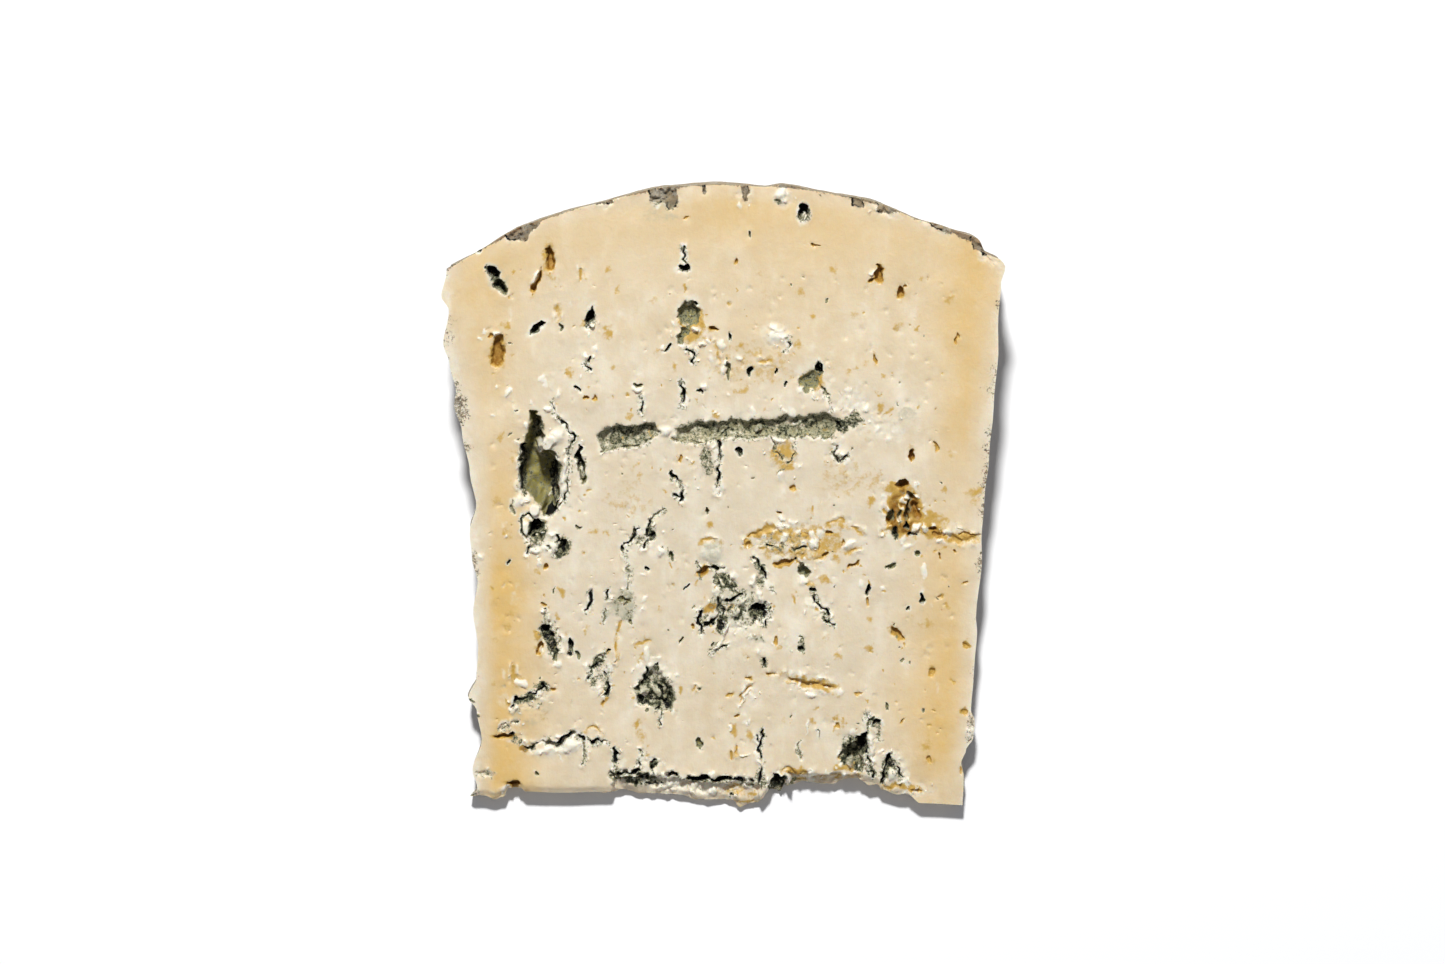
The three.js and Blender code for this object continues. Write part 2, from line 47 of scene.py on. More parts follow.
# Sizes of the wheel and of the wedge cut from it.
WHEEL_RADIUS = 107.9
WEDGE_ANGLE = math.radians(11.4)
RIND_CURVE_RADIUS = 75.7
RIND_CURVE_X = 1.5
TIP_RADIUS = 17.6
NEAR_RIND_RADIUS = 92
NEAR_TIP_RADIUS = 60
LEFT_FACE_X = {"tip": -36.4, "rind": -39.9}
RIGHT_FACE_X = {"tip": 35.9, "rind": 40.4}
CENTRE_X = 0.097
CENTRE_Y = 61.421

# The sheet of points wrapped round the wedge: steps from its middle to its edge, zone by zone. It is thinned
# out to a number of triangles, keeping those where the skin bends or its colour changes most. The
# tolerances say how far skin and marks may be off, and how many times as far on the underside.
FACE_STEPS = 320
WALL_STEPS = 64
UNDER_STEPS = 128
HALF_STEPS = FACE_STEPS + WALL_STEPS + UNDER_STEPS
SHEET_STEPS = 2 * HALF_STEPS
MOST_TRIANGLES = 190000
SKIN_TOLERANCE = 0.045
MARK_TOLERANCE = 0.24
HIDDEN_TOLERANCE = 3.0

# Unevenness of the skin: height, spacing and layer of random numbers of each kind.
Bumps = namedtuple("Bumps", "height spacing layer")
CUT_SWELL = Bumps(0.22, 13, 1)
CUT_CRUMB = Bumps(0.1, 3.2, 2)
CUT_GRAIN = Bumps(0.05, 0.9, 4)
RIND_BUMP = Bumps(0.22, 5.0, 3)
SIDE_BUMP = Bumps(0.3, 4.2, 3)
TIP_CRAG = Bumps(0.75, 2.6, 3)
RIND_GRAIN = Bumps(0.1, 1.1, 5)
TIP_GRAIN = Bumps(0.25, 0.8, 5)

# How far inside the edge of a cut face its outline pulls, how deep marks go as a share of the thickness,
# how high lumps stand, how sharp the corners are, and how the roughness of the walls grows below the cut
# and how much of it reaches the table.
EDGE_FADE = 4.5
DEEPEST_SHARE = 0.62
HIGHEST_LUMP = 0.6
CORNER_SHARPNESS = 24
BUMP_GROWTH = 4
BUMP_AT_TABLE = 0.5

# Where the true outline leaves the smooth one: (r, x) down each side, (x, r) along the tip and the rind.
LEFT_OUTLINE = [
    (99, -39.5), (95, -40.1), (92, -40.9), (90, -39.8), (85, -40.7), (82, -39.8), (78, -38.9),
    (76, -39.2), (72, -38.1), (66, -37.0), (61, -36.1), (57, -37.1), (53, -36.8), (49.5, -36.0),
    (45, -36.7), (39.5, -36.0), (35, -36.3), (32, -37.5), (30, -36.3), (25.5, -35.6), (21, -37.0),
    (18.6, -36.3), (17, -37.6), (15, -37.6),
]
RIGHT_OUTLINE = [
    (101, 39.8), (98.5, 39.4), (96, 41.1), (94, 40.5), (88, 40.1), (84, 40.2), (76, 39.6), (68, 39.0),
    (62, 38.4), (56, 38.0), (53, 38.1), (44, 37.3), (42, 37.5), (36, 37.1), (30, 36.7), (28.5, 37.3),
    (26, 37.1), (24, 36.0), (22.1, 35.3), (20.5, 35.7), (15, 35.4),
]
TIP_OUTLINE = [
    (-39, 17.0), (-34.8, 17.0), (-33.8, 16.6), (-32.4, 17.2), (-31.8, 18.5), (-30.3, 18.6),
    (-29.2, 17.6), (-24, 17.4), (-15, 17.6), (-12, 17.0), (-6.5, 16.8), (-3, 16.1), (1.5, 16.0),
    (3, 15.4), (5.2, 15.6), (6.8, 17.6), (8.4, 17.3), (9.4, 18.4), (12, 19.0), (16, 18.9),
    (20.2, 19.4), (22.8, 19.0), (23.6, 17.9), (25.9, 17.1), (27.3, 17.4), (29.3, 15.9), (37, 15.6),
]
RIND_OUTLINE = [
    (-41, 0), (-35.5, -0.2), (-30, 0.3), (-24, 0), (-17, -0.3), (-9, 0.2), (-2, 0), (6, -0.3),
    (9, 0.3), (14, -0.1), (22, 0.2), (28, -0.3), (33, 0.3), (37.6, 0.9), (39, -0.3), (41, -0.3),
]

# Marks of the upper cut face. Oval ones: x, r, length, width, turn in degrees, and the depth, height or
# strength. A turn of 0 lays the length along the axis of the wheel, 90 points it at the rind.
Oval = namedtuple("Oval", "x r length width turn amount")
BLACK_HOLES = [
    (-33.4, 95.4, 2.3, 1.6, -52, 2.6), (-34.6, 96.3, 0.5, 0.4, 0, 0.5), (-35.4, 98.7, 0.8, 0.6, 0, 0.9),
    (-27.0, 87.4, 3.0, 1.2, 40, 2.4), (-19.3, 89.0, 2.8, 1.1, 68, 2.6),
    (11.7, 104.2, 2.6, 1.4, 90, 1.8), (-5.6, 96.0, 1.7, 1.4, 0, 2.4), (14.2, 81.2, 2.3, 1.1, 90, 2.2),
    (-4.9, 91.0, 0.9, 0.6, 10, 1.6), (-3.6, 91.1, 0.7, 0.5, 0, 1.5), (1.2, 86.1, 1.2, 0.4, 90, 1.0),
    (4.0, 81.0, 1.6, 0.6, 90, 1.4), (-3.1, 77.9, 0.8, 0.5, 0, 1.2), (-19.6, 82.8, 1.1, 0.4, 90, 0.8),
    (-21.0, 78.4, 1.3, 0.6, -52, 1.2), (-7.9, 84.5, 1.6, 0.5, 53, 1.5), (8.0, 81.0, 0.9, 0.5, 80, 1.0),
    (9.2, 79.0, 0.8, 0.4, 90, 0.8), (17.0, 72.8, 1.2, 0.9, 0, 1.0), (-27.2, 58.0, 2.4, 1.9, 80, 3.8),
    (-28.0, 56.8, 1.4, 0.6, 40, 1.8), (-31.5, 52.4, 1.0, 0.45, 32, 0.9),
    (-14.9, 54.6, 1.1, 0.5, 100, 0.9), (-10.4, 56.5, 1.3, 0.7, 20, 1.2),
    (-11.0, 51.4, 0.9, 0.5, -25, 0.8), (-5.3, 48.8, 1.2, 0.4, 70, 1.2), (-0.9, 51.4, 1.2, 0.7, 0, 1.7),
    (-2.0, 43.1, 1.5, 0.8, 15, 1.6), (1.7, 46.8, 1.5, 0.7, 35, 1.5), (5.3, 45.5, 2.6, 1.1, 15, 2.2),
    (6.2, 45.0, 0.9, 0.8, 0, 1.6), (10.7, 53.0, 0.7, 0.5, 0, 1.0), (13.4, 48.2, 0.9, 0.5, -30, 1.1),
    (13.7, 46.6, 1.1, 0.5, 95, 1.3), (15.3, 43.4, 0.9, 0.5, 10, 1.3), (27.1, 57.9, 0.9, 0.6, 80, 1.8),
    (27.9, 56.7, 1.5, 0.5, -28, 1.7), (21.4, 48.3, 1.9, 0.55, 75, 1.8), (29.5, 47.0, 1.9, 0.6, 98, 1.9),
    (27.5, 45.3, 0.5, 0.35, 60, 0.6), (-26.0, 42.7, 1.4, 0.9, 115, 1.7),
    (-25.2, 41.6, 1.3, 0.5, 120, 1.3), (-22.5, 39.9, 2.4, 0.8, 88, 1.4),
    (-18.7, 36.8, 1.4, 0.5, 70, 1.4), (-17.2, 32.5, 1.0, 0.7, 50, 1.3),
    (-26.3, 33.8, 1.2, 0.6, -20, 1.1), (-30.6, 31.6, 1.1, 0.5, 60, 1.5),
    (-12.0, 31.9, 1.5, 0.8, 95, 1.5), (-9.2, 33.4, 1.2, 0.7, 100, 1.4), (-9.7, 30.3, 0.8, 0.4, 10, 1.1),
    (-9.7, 37.0, 0.7, 0.5, 0, 0.8), (-31.2, 26.5, 1.0, 0.5, 0, 1.2), (-10.2, 22.3, 1.1, 0.6, 20, 0.9),
    (-10.4, 21.2, 1.3, 0.45, 100, 0.9), (7.9, 19.2, 2.6, 1.5, 40, 2.4), (11.7, 39.4, 0.8, 0.5, 95, 0.8),
    (6.3, 37.2, 1.4, 0.4, 85, 1.1), (20.3, 25.6, 2.6, 1.1, 58, 2.6), (18.0, 23.7, 2.2, 0.8, 30, 2.2),
    (22.8, 28.5, 1.4, 0.8, -8, 1.9), (24.7, 22.5, 1.2, 0.6, 60, 1.7), (-20.8, 68.0, 3.0, 0.9, 95, 3.0),
    (2.5, 68.9, 1.3, 1.1, 0, 1.1), (-16.9, 39.0, 0.8, 0.4, 20, 0.8), (-14.0, 54.1, 0.5, 0.3, 0, 0.5),
]
OLIVE_HOLES = [
    (-32.3, 93.4, 2.6, 1.5, -52, 2.2), (-4.9, 89.5, 4.2, 2.8, 78, 1.6), (-5.8, 86.4, 2.8, 1.4, 75, 0.8),
    (12.8, 79.6, 3.4, 2.4, 60, 0.7), (0.8, 81.0, 2.6, 0.5, 90, 0.9), (-23.6, 87.5, 1.2, 0.4, 90, 0.7),
    (3.9, 101.2, 1.1, 0.5, 90, 0.7), (-40.0, 82.8, 0.6, 0.5, 0, 0.3), (-12.4, 78.9, 1.4, 0.5, 0, 0.8),
    (-20.6, 66.0, 3.6, 1.3, 95, 2.4), (-14.5, 46.8, 2.0, 0.5, 0, 0.7), (-14.2, 46.2, 0.8, 0.5, 90, 0.6),
    (12.0, 51.1, 1.9, 1.6, 100, 1.5), (28.5, 53.8, 1.1, 0.9, 20, 0.8), (24.6, 51.6, 1.6, 0.6, 25, 0.7),
    (26.0, 59.4, 1.6, 0.6, 90, 1.2), (24.6, 59.4, 2.0, 1.2, 70, 1.4), (-27.4, 20.5, 1.0, 0.6, -22, 0.6),
    (-3.3, 25.0, 1.6, 0.9, 100, 0.8), (-15.9, 19.7, 1.6, 1.3, 0, 0.9), (24.5, 30.8, 1.1, 0.4, -58, 0.5),
    (-21.5, 38.6, 1.6, 0.6, 95, 0.7), (-23.4, 54.9, 1.6, 1.2, 60, 1.3), (-27.0, 56.3, 1.7, 0.8, 0, 1.3),
    (-24.7, 39.0, 2.8, 0.8, 95, 1.1), (-6.2, 40.6, 1.5, 0.35, 68, 0.9), (11.6, 41.4, 0.5, 0.4, 0, 0.4),
    (-1.7, 40.1, 0.5, 0.4, 0, 0.5), (-7.5, 53.2, 1.5, 0.4, 112, 0.9), (-2.3, 60.0, 1.3, 0.4, 98, 1.0),
    (-13.6, 43.5, 1.2, 0.5, 95, 0.4), (19.6, 23.0, 2.0, 1.4, 80, 2.0), (-13.2, 57.0, 1.6, 0.4, 80, 0.8),
    (-21.0, 57.6, 1.0, 0.35, -20, 0.5), (10.4, 19.2, 1.2, 0.6, 40, 1.0), (-37.3, 16.9, 1.2, 0.6, 20, 0.5),
    (25.4, 56.8, 1.6, 0.7, 105, 1.4),
]
AMBER_HOLES = [
    (-25.1, 97.5, 4.3, 1.3, 92, 1.6), (-27.0, 94.3, 4.2, 0.8, 72, 1.4), (-32.8, 83.8, 4.8, 1.9, 82, 1.3),
    (-33.6, 86.1, 0.6, 0.5, 0, 0.5), (22.8, 95.2, 2.6, 1.2, 95, 1.5), (21.7, 94.5, 1.3, 0.5, 20, 0.8),
    (25.9, 92.6, 1.9, 1.0, 95, 1.2), (26.6, 93.6, 0.7, 0.4, 30, 0.5), (-1.3, 87.2, 1.8, 0.7, -8, 1.0),
    (13.5, 99.6, 1.4, 0.4, 0, 0.6), (2.1, 97.4, 1.0, 0.4, 90, 0.5), (-5.3, 103.7, 0.9, 0.5, 30, 0.3),
    (34.2, 85.8, 1.6, 0.5, 85, 0.5), (22.2, 82.8, 1.5, 0.5, 95, 0.5), (31.2, 69.7, 1.0, 0.6, 90, 0.4),
    (-6.1, 68.2, 1.0, 0.4, 90, 0.4), (10.2, 63.6, 0.9, 0.6, 90, 0.5), (-19.8, 77.0, 0.9, 0.6, 0, 0.7),
    (-18.7, 76.9, 0.6, 0.5, 0, 0.5), (27.5, 68.7, 2.1, 0.9, 90, 1.4), (-26.1, 51.8, 0.9, 0.7, 20, 0.8),
    (-26.3, 46.1, 1.0, 0.6, 0, 0.5), (-27.0, 39.3, 2.0, 1.1, 78, 1.0), (-4.4, 43.0, 1.0, 0.4, 95, 0.6),
    (8.3, 59.9, 1.0, 0.5, -20, 0.8), (4.0, 55.0, 1.4, 0.9, 0, 0.5), (15.5, 56.8, 1.0, 0.5, -10, 0.7),
    (14.9, 53.5, 1.0, 0.5, 20, 0.7), (-2.8, 51.1, 2.0, 1.1, 25, 1.2), (9.0, 52.5, 3.4, 0.8, 17, 0.8),
    (28.3, 60.4, 2.6, 1.2, 102, 1.3), (27.1, 59.8, 2.8, 0.6, 88, 1.7), (31.0, 57.6, 1.3, 0.8, 0, 1.0),
    (31.9, 53.2, 1.1, 0.35, -65, 0.6), (34.0, 54.1, 0.9, 0.5, 100, 0.5), (19.3, 52.1, 1.8, 0.5, 35, 0.7),
    (17.7, 55.5, 1.3, 0.6, 75, 0.5), (21.2, 46.5, 1.6, 0.6, 80, 0.5), (25.7, 41.8, 2.8, 1.1, -52, 0.8),
    (35.6, 49.1, 0.9, 0.4, 0, 0.3), (32.3, 47.4, 0.9, 0.5, 20, 0.3), (35.8, 40.1, 1.0, 0.7, 0, 0.4),
    (7.8, 40.5, 1.3, 0.4, 90, 0.4), (-32.4, 26.1, 3.2, 0.8, 3, 1.1), (-17.6, 31.3, 0.9, 0.5, 70, 0.4),
    (-24.9, 33.3, 0.9, 0.5, 0, 0.5), (1.9, 29.2, 0.9, 0.6, 20, 0.5), (4.0, 34.8, 1.2, 0.5, 0, 0.4),
    (1.0, 32.6, 1.5, 0.6, 0, 0.3), (30.9, 35.9, 1.5, 0.7, 92, 0.5), (20.2, 32.5, 1.2, 0.4, 0, 0.3),
    (17.0, 27.7, 0.9, 0.4, 80, 0.4), (26.5, 28.4, 1.1, 0.3, 50, 0.4), (30.7, 22.6, 1.2, 0.8, 70, 0.4),
    (35.2, 20.8, 1.1, 0.4, 95, 0.3), (35.8, 30.1, 1.2, 0.9, 80, 0.4), (-30.9, 18.9, 2.0, 0.8, 0, 1.1),
    (17.3, 22.9, 0.9, 0.6, 0, 0.5), (28.8, 17.9, 1.6, 0.6, -10, 0.7), (33.3, 102.2, 0.9, 0.6, 20, 0.4),
    (26.3, 64.2, 1.7, 1.3, 20, 2.6), (27.5, 62.4, 1.7, 0.9, -50, 2.4), (24.3, 58.6, 1.1, 0.8, 60, 1.8),
]

# Lines and cracks: half width, depth and the (x, r) corners they pass through.
BLACK_LINES = [
    (0.14, 0.5, [(-5.6, 97.0), (-5.5, 99.7)]), (0.2, 0.6, [(9.4, 86.0), (9.9, 84.5), (9.4, 83.9)]),
    (0.18, 0.6, [(-5.2, 84.2), (-4.0, 83.3), (-4.3, 82.1)]),
    (0.25, 1.2, [(-6.3, 79.3), (-5.7, 78), (-5.6, 76.5), (-5.9, 75.5)]),
    (0.2, 0.8, [(-11.8, 77), (-11.9, 75)]), (0.15, 0.6, [(-20.2, 82), (-19.2, 81)]),
    (0.22, 1.3, [(-0.7, 70.5), (-0.6, 66), (-0.3, 64.8), (-0.7, 63)]),
    (0.3, 1.4, [(-0.4, 65), (-0.7, 63)]),
    (0.22, 1.3, [(-7.3, 65.6), (-6.3, 64.7), (-6, 63.3), (-5.9, 61.7)]),
    (0.2, 0.9, [(-7.2, 62.5), (-6.2, 62.5)]),
    (0.25, 1.0, [(16.5, 70), (16.5, 68.6), (17.2, 67.8), (18, 68.5)]),
    # The next three lines run down the left and right walls of the large hollow: grooves painted black, as
    # painted shade on those walls over dark mould.
    (0.35, 2.4, [(-29.2, 70), (-29.3, 66.5), (-29.4, 63.4)]),
    (0.55, 2.6, [(-24.6, 68.6), (-24.5, 65), (-24.9, 62), (-25.6, 59.6)]),
    (0.3, 1.6, [(-24.2, 63.4), (-23.8, 62), (-24.6, 60.4)]),
    (0.13, 0.5, [(-25, 76.5), (-24.5, 74.5), (-23.2, 73.3), (-21.8, 71.2), (-22.6, 69.6), (-22.9, 65.5),
                 (-22.5, 63.6), (-22.9, 62.2), (-24.2, 60.5), (-25.6, 59.3)]),
    (0.22, 1.4, [(-29.4, 58.8), (-29.5, 57.2), (-28.8, 55.9)]),
    (0.16, 0.6, [(-29.4, 59.2), (-28.4, 59.5), (-27.7, 58.8)]),
    (0.2, 0.8, [(-28.6, 53.7), (-28.2, 54.7), (-27.4, 54.9)]),
    (0.25, 1.1, [(-24.4, 56.4), (-24.1, 55.5), (-23.3, 55.2), (-23.2, 54.2), (-24, 53.6)]),
    (0.15, 0.7, [(-25.8, 55.0), (-25.0, 54.0), (-24.2, 53.9)]),
    (0.17, 0.9, [(-19.55, 48), (-19.6, 46), (-19.9, 45.5), (-20.5, 45)]),
    (0.2, 1.0, [(-16.95, 48), (-17, 47)]),
    (0.14, 0.6, [(-14.6, 55.1), (-13.5, 55.4), (-13.1, 56.2), (-12.9, 57.2), (-12.2, 57.4)]),
    (0.16, 0.7, [(-11.3, 57.2), (-11, 56), (-11.7, 54.6)]), (0.16, 0.6, [(-10.9, 57.6), (-10.5, 58.6)]),
    (0.25, 1.7, [(4.7, 53.2), (5.4, 52.2), (6.0, 50.9)]),
    (0.14, 0.7, [(6.1, 50.8), (6.7, 49.2), (7.4, 47.9)]),
    (0.15, 0.8, [(6.5, 54.9), (8.3, 54.7), (8.9, 55.0)]), (0.17, 0.9, [(10.4, 54.4), (12.1, 54.6)]),
    (0.2, 1.0, [(3.0, 47.6), (1.7, 46.7), (0.6, 46.4)]),
    (0.16, 0.8, [(-3.1, 45.1), (-3.5, 43.3), (-3.0, 42.8)]),
    (0.2, 1.0, [(-2.0, 43), (-1.4, 43.9), (-0.5, 44.5)]), (0.13, 0.5, [(-3.1, 42.7), (-3.0, 41.6)]),
    (0.2, 0.9, [(-0.5, 46.6), (-0.6, 45), (-0.2, 43.4), (0.1, 42)]),
    (0.15, 0.6, [(6.8, 45.2), (6.7, 44), (6.3, 43)]),
    (0.15, 0.7, [(-1.8, 51.5), (-0.9, 51.6), (0.2, 51.5)]),
    (0.2, 0.9, [(13.7, 47), (13.7, 46.2), (14.4, 45.4), (15.1, 45.3)]),
    (0.18, 0.8, [(15.1, 45.3), (15.6, 44.2), (15.4, 43.4), (16.3, 43)]),
    (0.4, 2.3, [(-26.2, 25.4), (-25.3, 25.1), (-24.7, 24.8), (-24.1, 25), (-23.6, 25.5), (-23.1, 26.2),
                (-22.4, 26.4), (-21.4, 26.4), (-20.8, 26.1), (-20.7, 25.6)]),
    (0.15, 1.0, [(-19.8, 25.4), (-19, 25.4), (-18.3, 25.7), (-17.3, 25.4)]),
    (0.17, 1.2, [(-16, 24.5), (-15.7, 24.2), (-15.8, 22.6), (-15.9, 21.5)]),
    (0.25, 1.6, [(-31, 30.5), (-30.8, 31.4), (-30.4, 31.9), (-29.5, 31.8), (-29, 32.2)]),
    (0.17, 1.2, [(-29, 32.2), (-28.4, 32.8), (-27.6, 32.7), (-27.2, 33.3), (-26.5, 33.9)]),
    (0.2, 0.9, [(-19.9, 35), (-19.4, 35.8), (-18.9, 36.6), (-18.4, 37.6), (-17.5, 38.8)]),
    (0.16, 0.8, [(-17.3, 36), (-16.8, 35.2), (-16.8, 33.6), (-17.2, 32.5)]),
    (0.2, 1.1, [(-11, 36.2), (-11.4, 35.2), (-12, 34)]),
    (0.18, 0.9, [(-9.1, 33.4), (-9, 32), (-8.6, 31.3)]), (0.12, 0.4, [(-9.1, 29.8), (-9.1, 27.8)]),
    (0.33, 1.7, [(-15.6, 20.2), (-14.2, 20.5), (-12.6, 20.7)]),
    (0.33, 1.7, [(-8.3, 20.2), (-7.3, 20.3), (-6.4, 19.9), (-5, 19.6), (-3.6, 19.4), (-2, 19.7),
                 (-0.9, 19.3), (0.2, 19.8), (1.4, 19.4), (2.9, 19.3), (4.2, 19.4)]),
    (0.26, 1.2, [(-12.4, 18.7), (-11, 18.5), (-9.8, 18.9), (-9.1, 18.9)]),
    (0.13, 0.7, [(-11.9, 24.2), (-11.6, 23.5), (-12.4, 22.5), (-12.3, 21.7)]),
    (0.15, 0.9, [(6.0, 26.8), (5.8, 26), (5.4, 25), (5.3, 23.8), (5.6, 22.8), (5.6, 21), (5.4, 19.5)]),
    (0.12, 0.5, [(4.9, 26), (5.2, 25.3)]),
    (0.13, 0.5, [(-1.6, 38.4), (-1.1, 39.2), (-0.2, 39.6), (0.8, 40.1)]),
    (0.2, 1.1, [(21.3, 29.6), (21.9, 28.8), (22.6, 28.6)]), (0.14, 0.6, [(21.9, 28.8), (21.3, 27)]),
    (0.25, 1.5, [(24.7, 23.3), (24.3, 22), (23.7, 20.7), (23.5, 18.8)]),
    (0.13, 0.6, [(25.2, 22.4), (25.9, 21.5), (26.2, 20.6), (26.6, 19.5)]),
    (0.13, 0.6, [(21.2, 24), (21.6, 22.5), (22, 21), (22.2, 20)]),
    (0.12, 0.5, [(2.1, 16.8), (1.2, 16.7)]),
]
OLIVE_LINES = [
    (0.2, 0.7, [(14, 79), (15.5, 77), (16, 75.3)]),
    (0.15, 0.5, [(-30.9, 61.5), (-30.9, 60.6), (-30.7, 59.8)]),
    (0.14, 0.3, [(-14.6, 53.8), (-14.5, 53), (-13.9, 52), (-13.8, 50.5), (-14, 49), (-14.1, 48.3)]),
    (0.14, 0.4, [(-8.6, 60.2), (-9.6, 59.3), (-10.5, 58.6)]),
    (0.13, 0.4, [(-0.9, 50.9), (-0.6, 50), (-1.4, 49.4), (-0.5, 48.2)]),
    (0.13, 0.4, [(-0.6, 50), (0.6, 49.2), (1.2, 48.3), (2.2, 47.9)]),
    (0.13, 0.4, [(1.7, 49.7), (2.1, 48.7), (2.3, 47.8)]), (0.2, 0.5, [(-26.7, 42.8), (-26.6, 41.3)]),
    (0.18, 0.6, [(-24.5, 42.5), (-24.1, 41), (-24.3, 39.2)]),
    (0.15, 0.5, [(-33.0, 27.2), (-32.3, 28.2), (-31.7, 27.7)]),
    (0.16, 0.5, [(-31.1, 28.4), (-30.2, 28.4)]),
    (0.3, 1.2, [(-29.6, 24.8), (-28.9, 24.4), (-28.2, 24.3), (-27.6, 24.9), (-26.9, 25.2),
                (-26.2, 25.4)]),
    (0.15, 0.5, [(-20.6, 25.2), (-20.2, 23.7), (-20.1, 22.9), (-20.8, 21.9)]),
    (0.14, 0.5, [(11.5, 25), (11.4, 23.3), (11.7, 22.6)]), (0.12, 0.3, [(14.2, 27.3), (14.2, 26.3)]),
    (0.16, 0.5, [(22.9, 27.2), (23.3, 25.6)]), (0.3, 0.5, [(-36.3, 20.4), (-34.5, 20.1)]),
    (0.13, 0.4, [(-3.6, 52.4), (-3.4, 50.7), (-3.1, 50.1)]),
    (0.13, 0.4, [(8.2, 57.0), (8.7, 57.6), (8.6, 58.6)]),
    (0.14, 0.4, [(7.2, 71), (7.6, 69), (8.7, 68)]),
    # A shallow groove with a dark line of painted shadow along the lower lip of the needle channel's left
    # length.
    (0.14, 0.6, [(-17.8, 69.0), (-14, 69.7), (-10.7, 70.6)]),
    (0.13, 0.4, [(10.6, 70.5), (10.2, 68.4), (9.2, 67.4)]), (0.14, 0.3, [(8.5, 66.2), (8.5, 65.2)]),
    # A shallow groove with a dark line of painted shadow along the lower lip of the needle channel's right
    # length.
    (0.13, 0.5, [(-7.2, 70.8), (-3, 70.4), (4, 71.2), (10, 71.3), (15.8, 71.3)]),
    (0.16, 0.3, [(-17.2, 45.4), (-17.2, 43.6)]),
    (0.15, 0.4, [(-26.2, 45.4), (-26, 44.5), (-25.9, 43.4)]),
    (0.2, 1.0, [(28.0, 62.6), (27.4, 62.0), (27.2, 60.5), (27.1, 58)]),
]
AMBER_LINES = [
    (0.15, 0.5, [(-0.7, 85.2), (-0.7, 82.4)]), (0.15, 0.3, [(-24, 90.6), (-24, 88.8)]),
    (0.15, 0.3, [(-20.6, 95.8), (-20.4, 94.3)]), (0.16, 0.3, [(5, 82.3), (7, 82.4)]),
    (0.14, 0.4, [(-15.1, 43.2), (-15.4, 41.2), (-15.6, 39.5), (-15.4, 38.2), (-15.6, 37.4)]),
    (0.2, 0.5, [(3.7, 56.3), (5.2, 57.1), (6.8, 57.5), (7.9, 57.3)]),
    (0.13, 0.3, [(2.9, 54.8), (3.4, 55.7)]), (0.16, 0.4, [(6.6, 57.9), (7.4, 57.6), (8.0, 57.3)]),
    (0.15, 0.4, [(5.8, 54.3), (7, 54.9)]), (0.2, 0.6, [(12.5, 56.6), (12.3, 55.6), (12.5, 54.6)]),
    (0.18, 0.5, [(14.2, 56), (14.5, 55.1), (14.3, 54.3)]), (0.16, 0.3, [(13, 53), (14.6, 53.1)]),
    (0.18, 0.6, [(10.6, 53.7), (10.9, 52.4), (11.7, 51.8)]),
    (0.18, 0.3, [(15.2, 58), (16.2, 58.7), (17.2, 59), (18.4, 57.7), (20.5, 56.9)]),
    (0.16, 0.3, [(23.5, 57.1), (24.4, 57.5)]),
    (0.35, 1.0, [(31.2, 56.7), (33, 56.3), (34.5, 56.0), (35.4, 55.4)]),
    (0.3, 0.8, [(34.8, 56.8), (36.2, 56.6), (37.8, 56.4)]),
    (0.25, 0.6, [(35.4, 55.4), (36.4, 55.9), (37.6, 56.2)]), (0.2, 0.5, [(23.8, 60.5), (24.2, 59.8)]),
    (0.25, 0.7, [(28.6, 61.3), (29, 60), (29, 59.1)]),
    (0.2, 0.4, [(20, 54.8), (19, 54.2), (18.1, 53.7)]),
    (0.2, 0.9, [(6.6, 35.6), (7.7, 35.8), (9, 35.2)]),
    (0.32, 1.4, [(9, 35.2), (10.5, 34.8), (12, 34.5)]),
    (0.55, 1.4, [(12, 34.4), (13.2, 34.2), (14.5, 33.9)]),
    (0.35, 1.4, [(14.5, 33.9), (15.4, 33.6), (16.6, 33.0), (17, 33.4)]),
    (0.2, 0.7, [(16.4, 33), (16.9, 32.3)]),
    (0.3, 0.9, [(4.5, 33.6), (3.7, 33.1), (3.1, 32.4), (2.9, 31.4)]),
    (0.15, 0.4, [(1.3, 23.5), (1.1, 22.4)]), (0.15, 0.4, [(2.0, 24.3), (2.1, 23.4)]),
    (0.16, 0.4, [(-11, 23.2), (-10.8, 21.8)]),
    (0.16, 0.4, [(-20, 27), (-19.3, 27.5), (-18.4, 27), (-17.9, 26.3)]),
    (0.3, 0.3, [(-30.8, 36.5), (-30.6, 35.2), (-29.8, 34.9)]),
    (0.25, 0.8, [(8.7, 21), (9.5, 21.2), (10.2, 20.9), (11, 20.4), (13, 20.5)]),
    (0.2, 0.5, [(14.4, 19.4), (17, 19.8), (18.5, 20), (20.5, 20.2)]),
    (0.2, 0.4, [(10.8, 19.4), (14, 19.5), (16, 19.5)]), (0.15, 0.3, [(2, 17), (5, 17)]),
    (0.15, 0.3, [(1, 18.2), (2.5, 18.1)]), (0.15, 0.3, [(2, 15.9), (5, 15.8)]),
    (0.3, 0.5, [(23.2, 18.6), (25, 18.4), (26, 18.8), (27.5, 18.2)]),
    (0.15, 0.3, [(-12.9, 40.2), (-12, 40.4), (-10.5, 40.6)]),
    (0.13, 0.3, [(-3.1, 55.4), (-2.9, 56), (-1.2, 55.9)]), (0.13, 0.3, [(-4.6, 33), (-3.8, 33.7)]),
    (0.14, 0.3, [(-9.2, 27.9), (-9.5, 27.5)]),
    (0.15, 0.3, [(-32.0, 57.0), (-31.3, 56.6), (-31.6, 55.9)]),
]

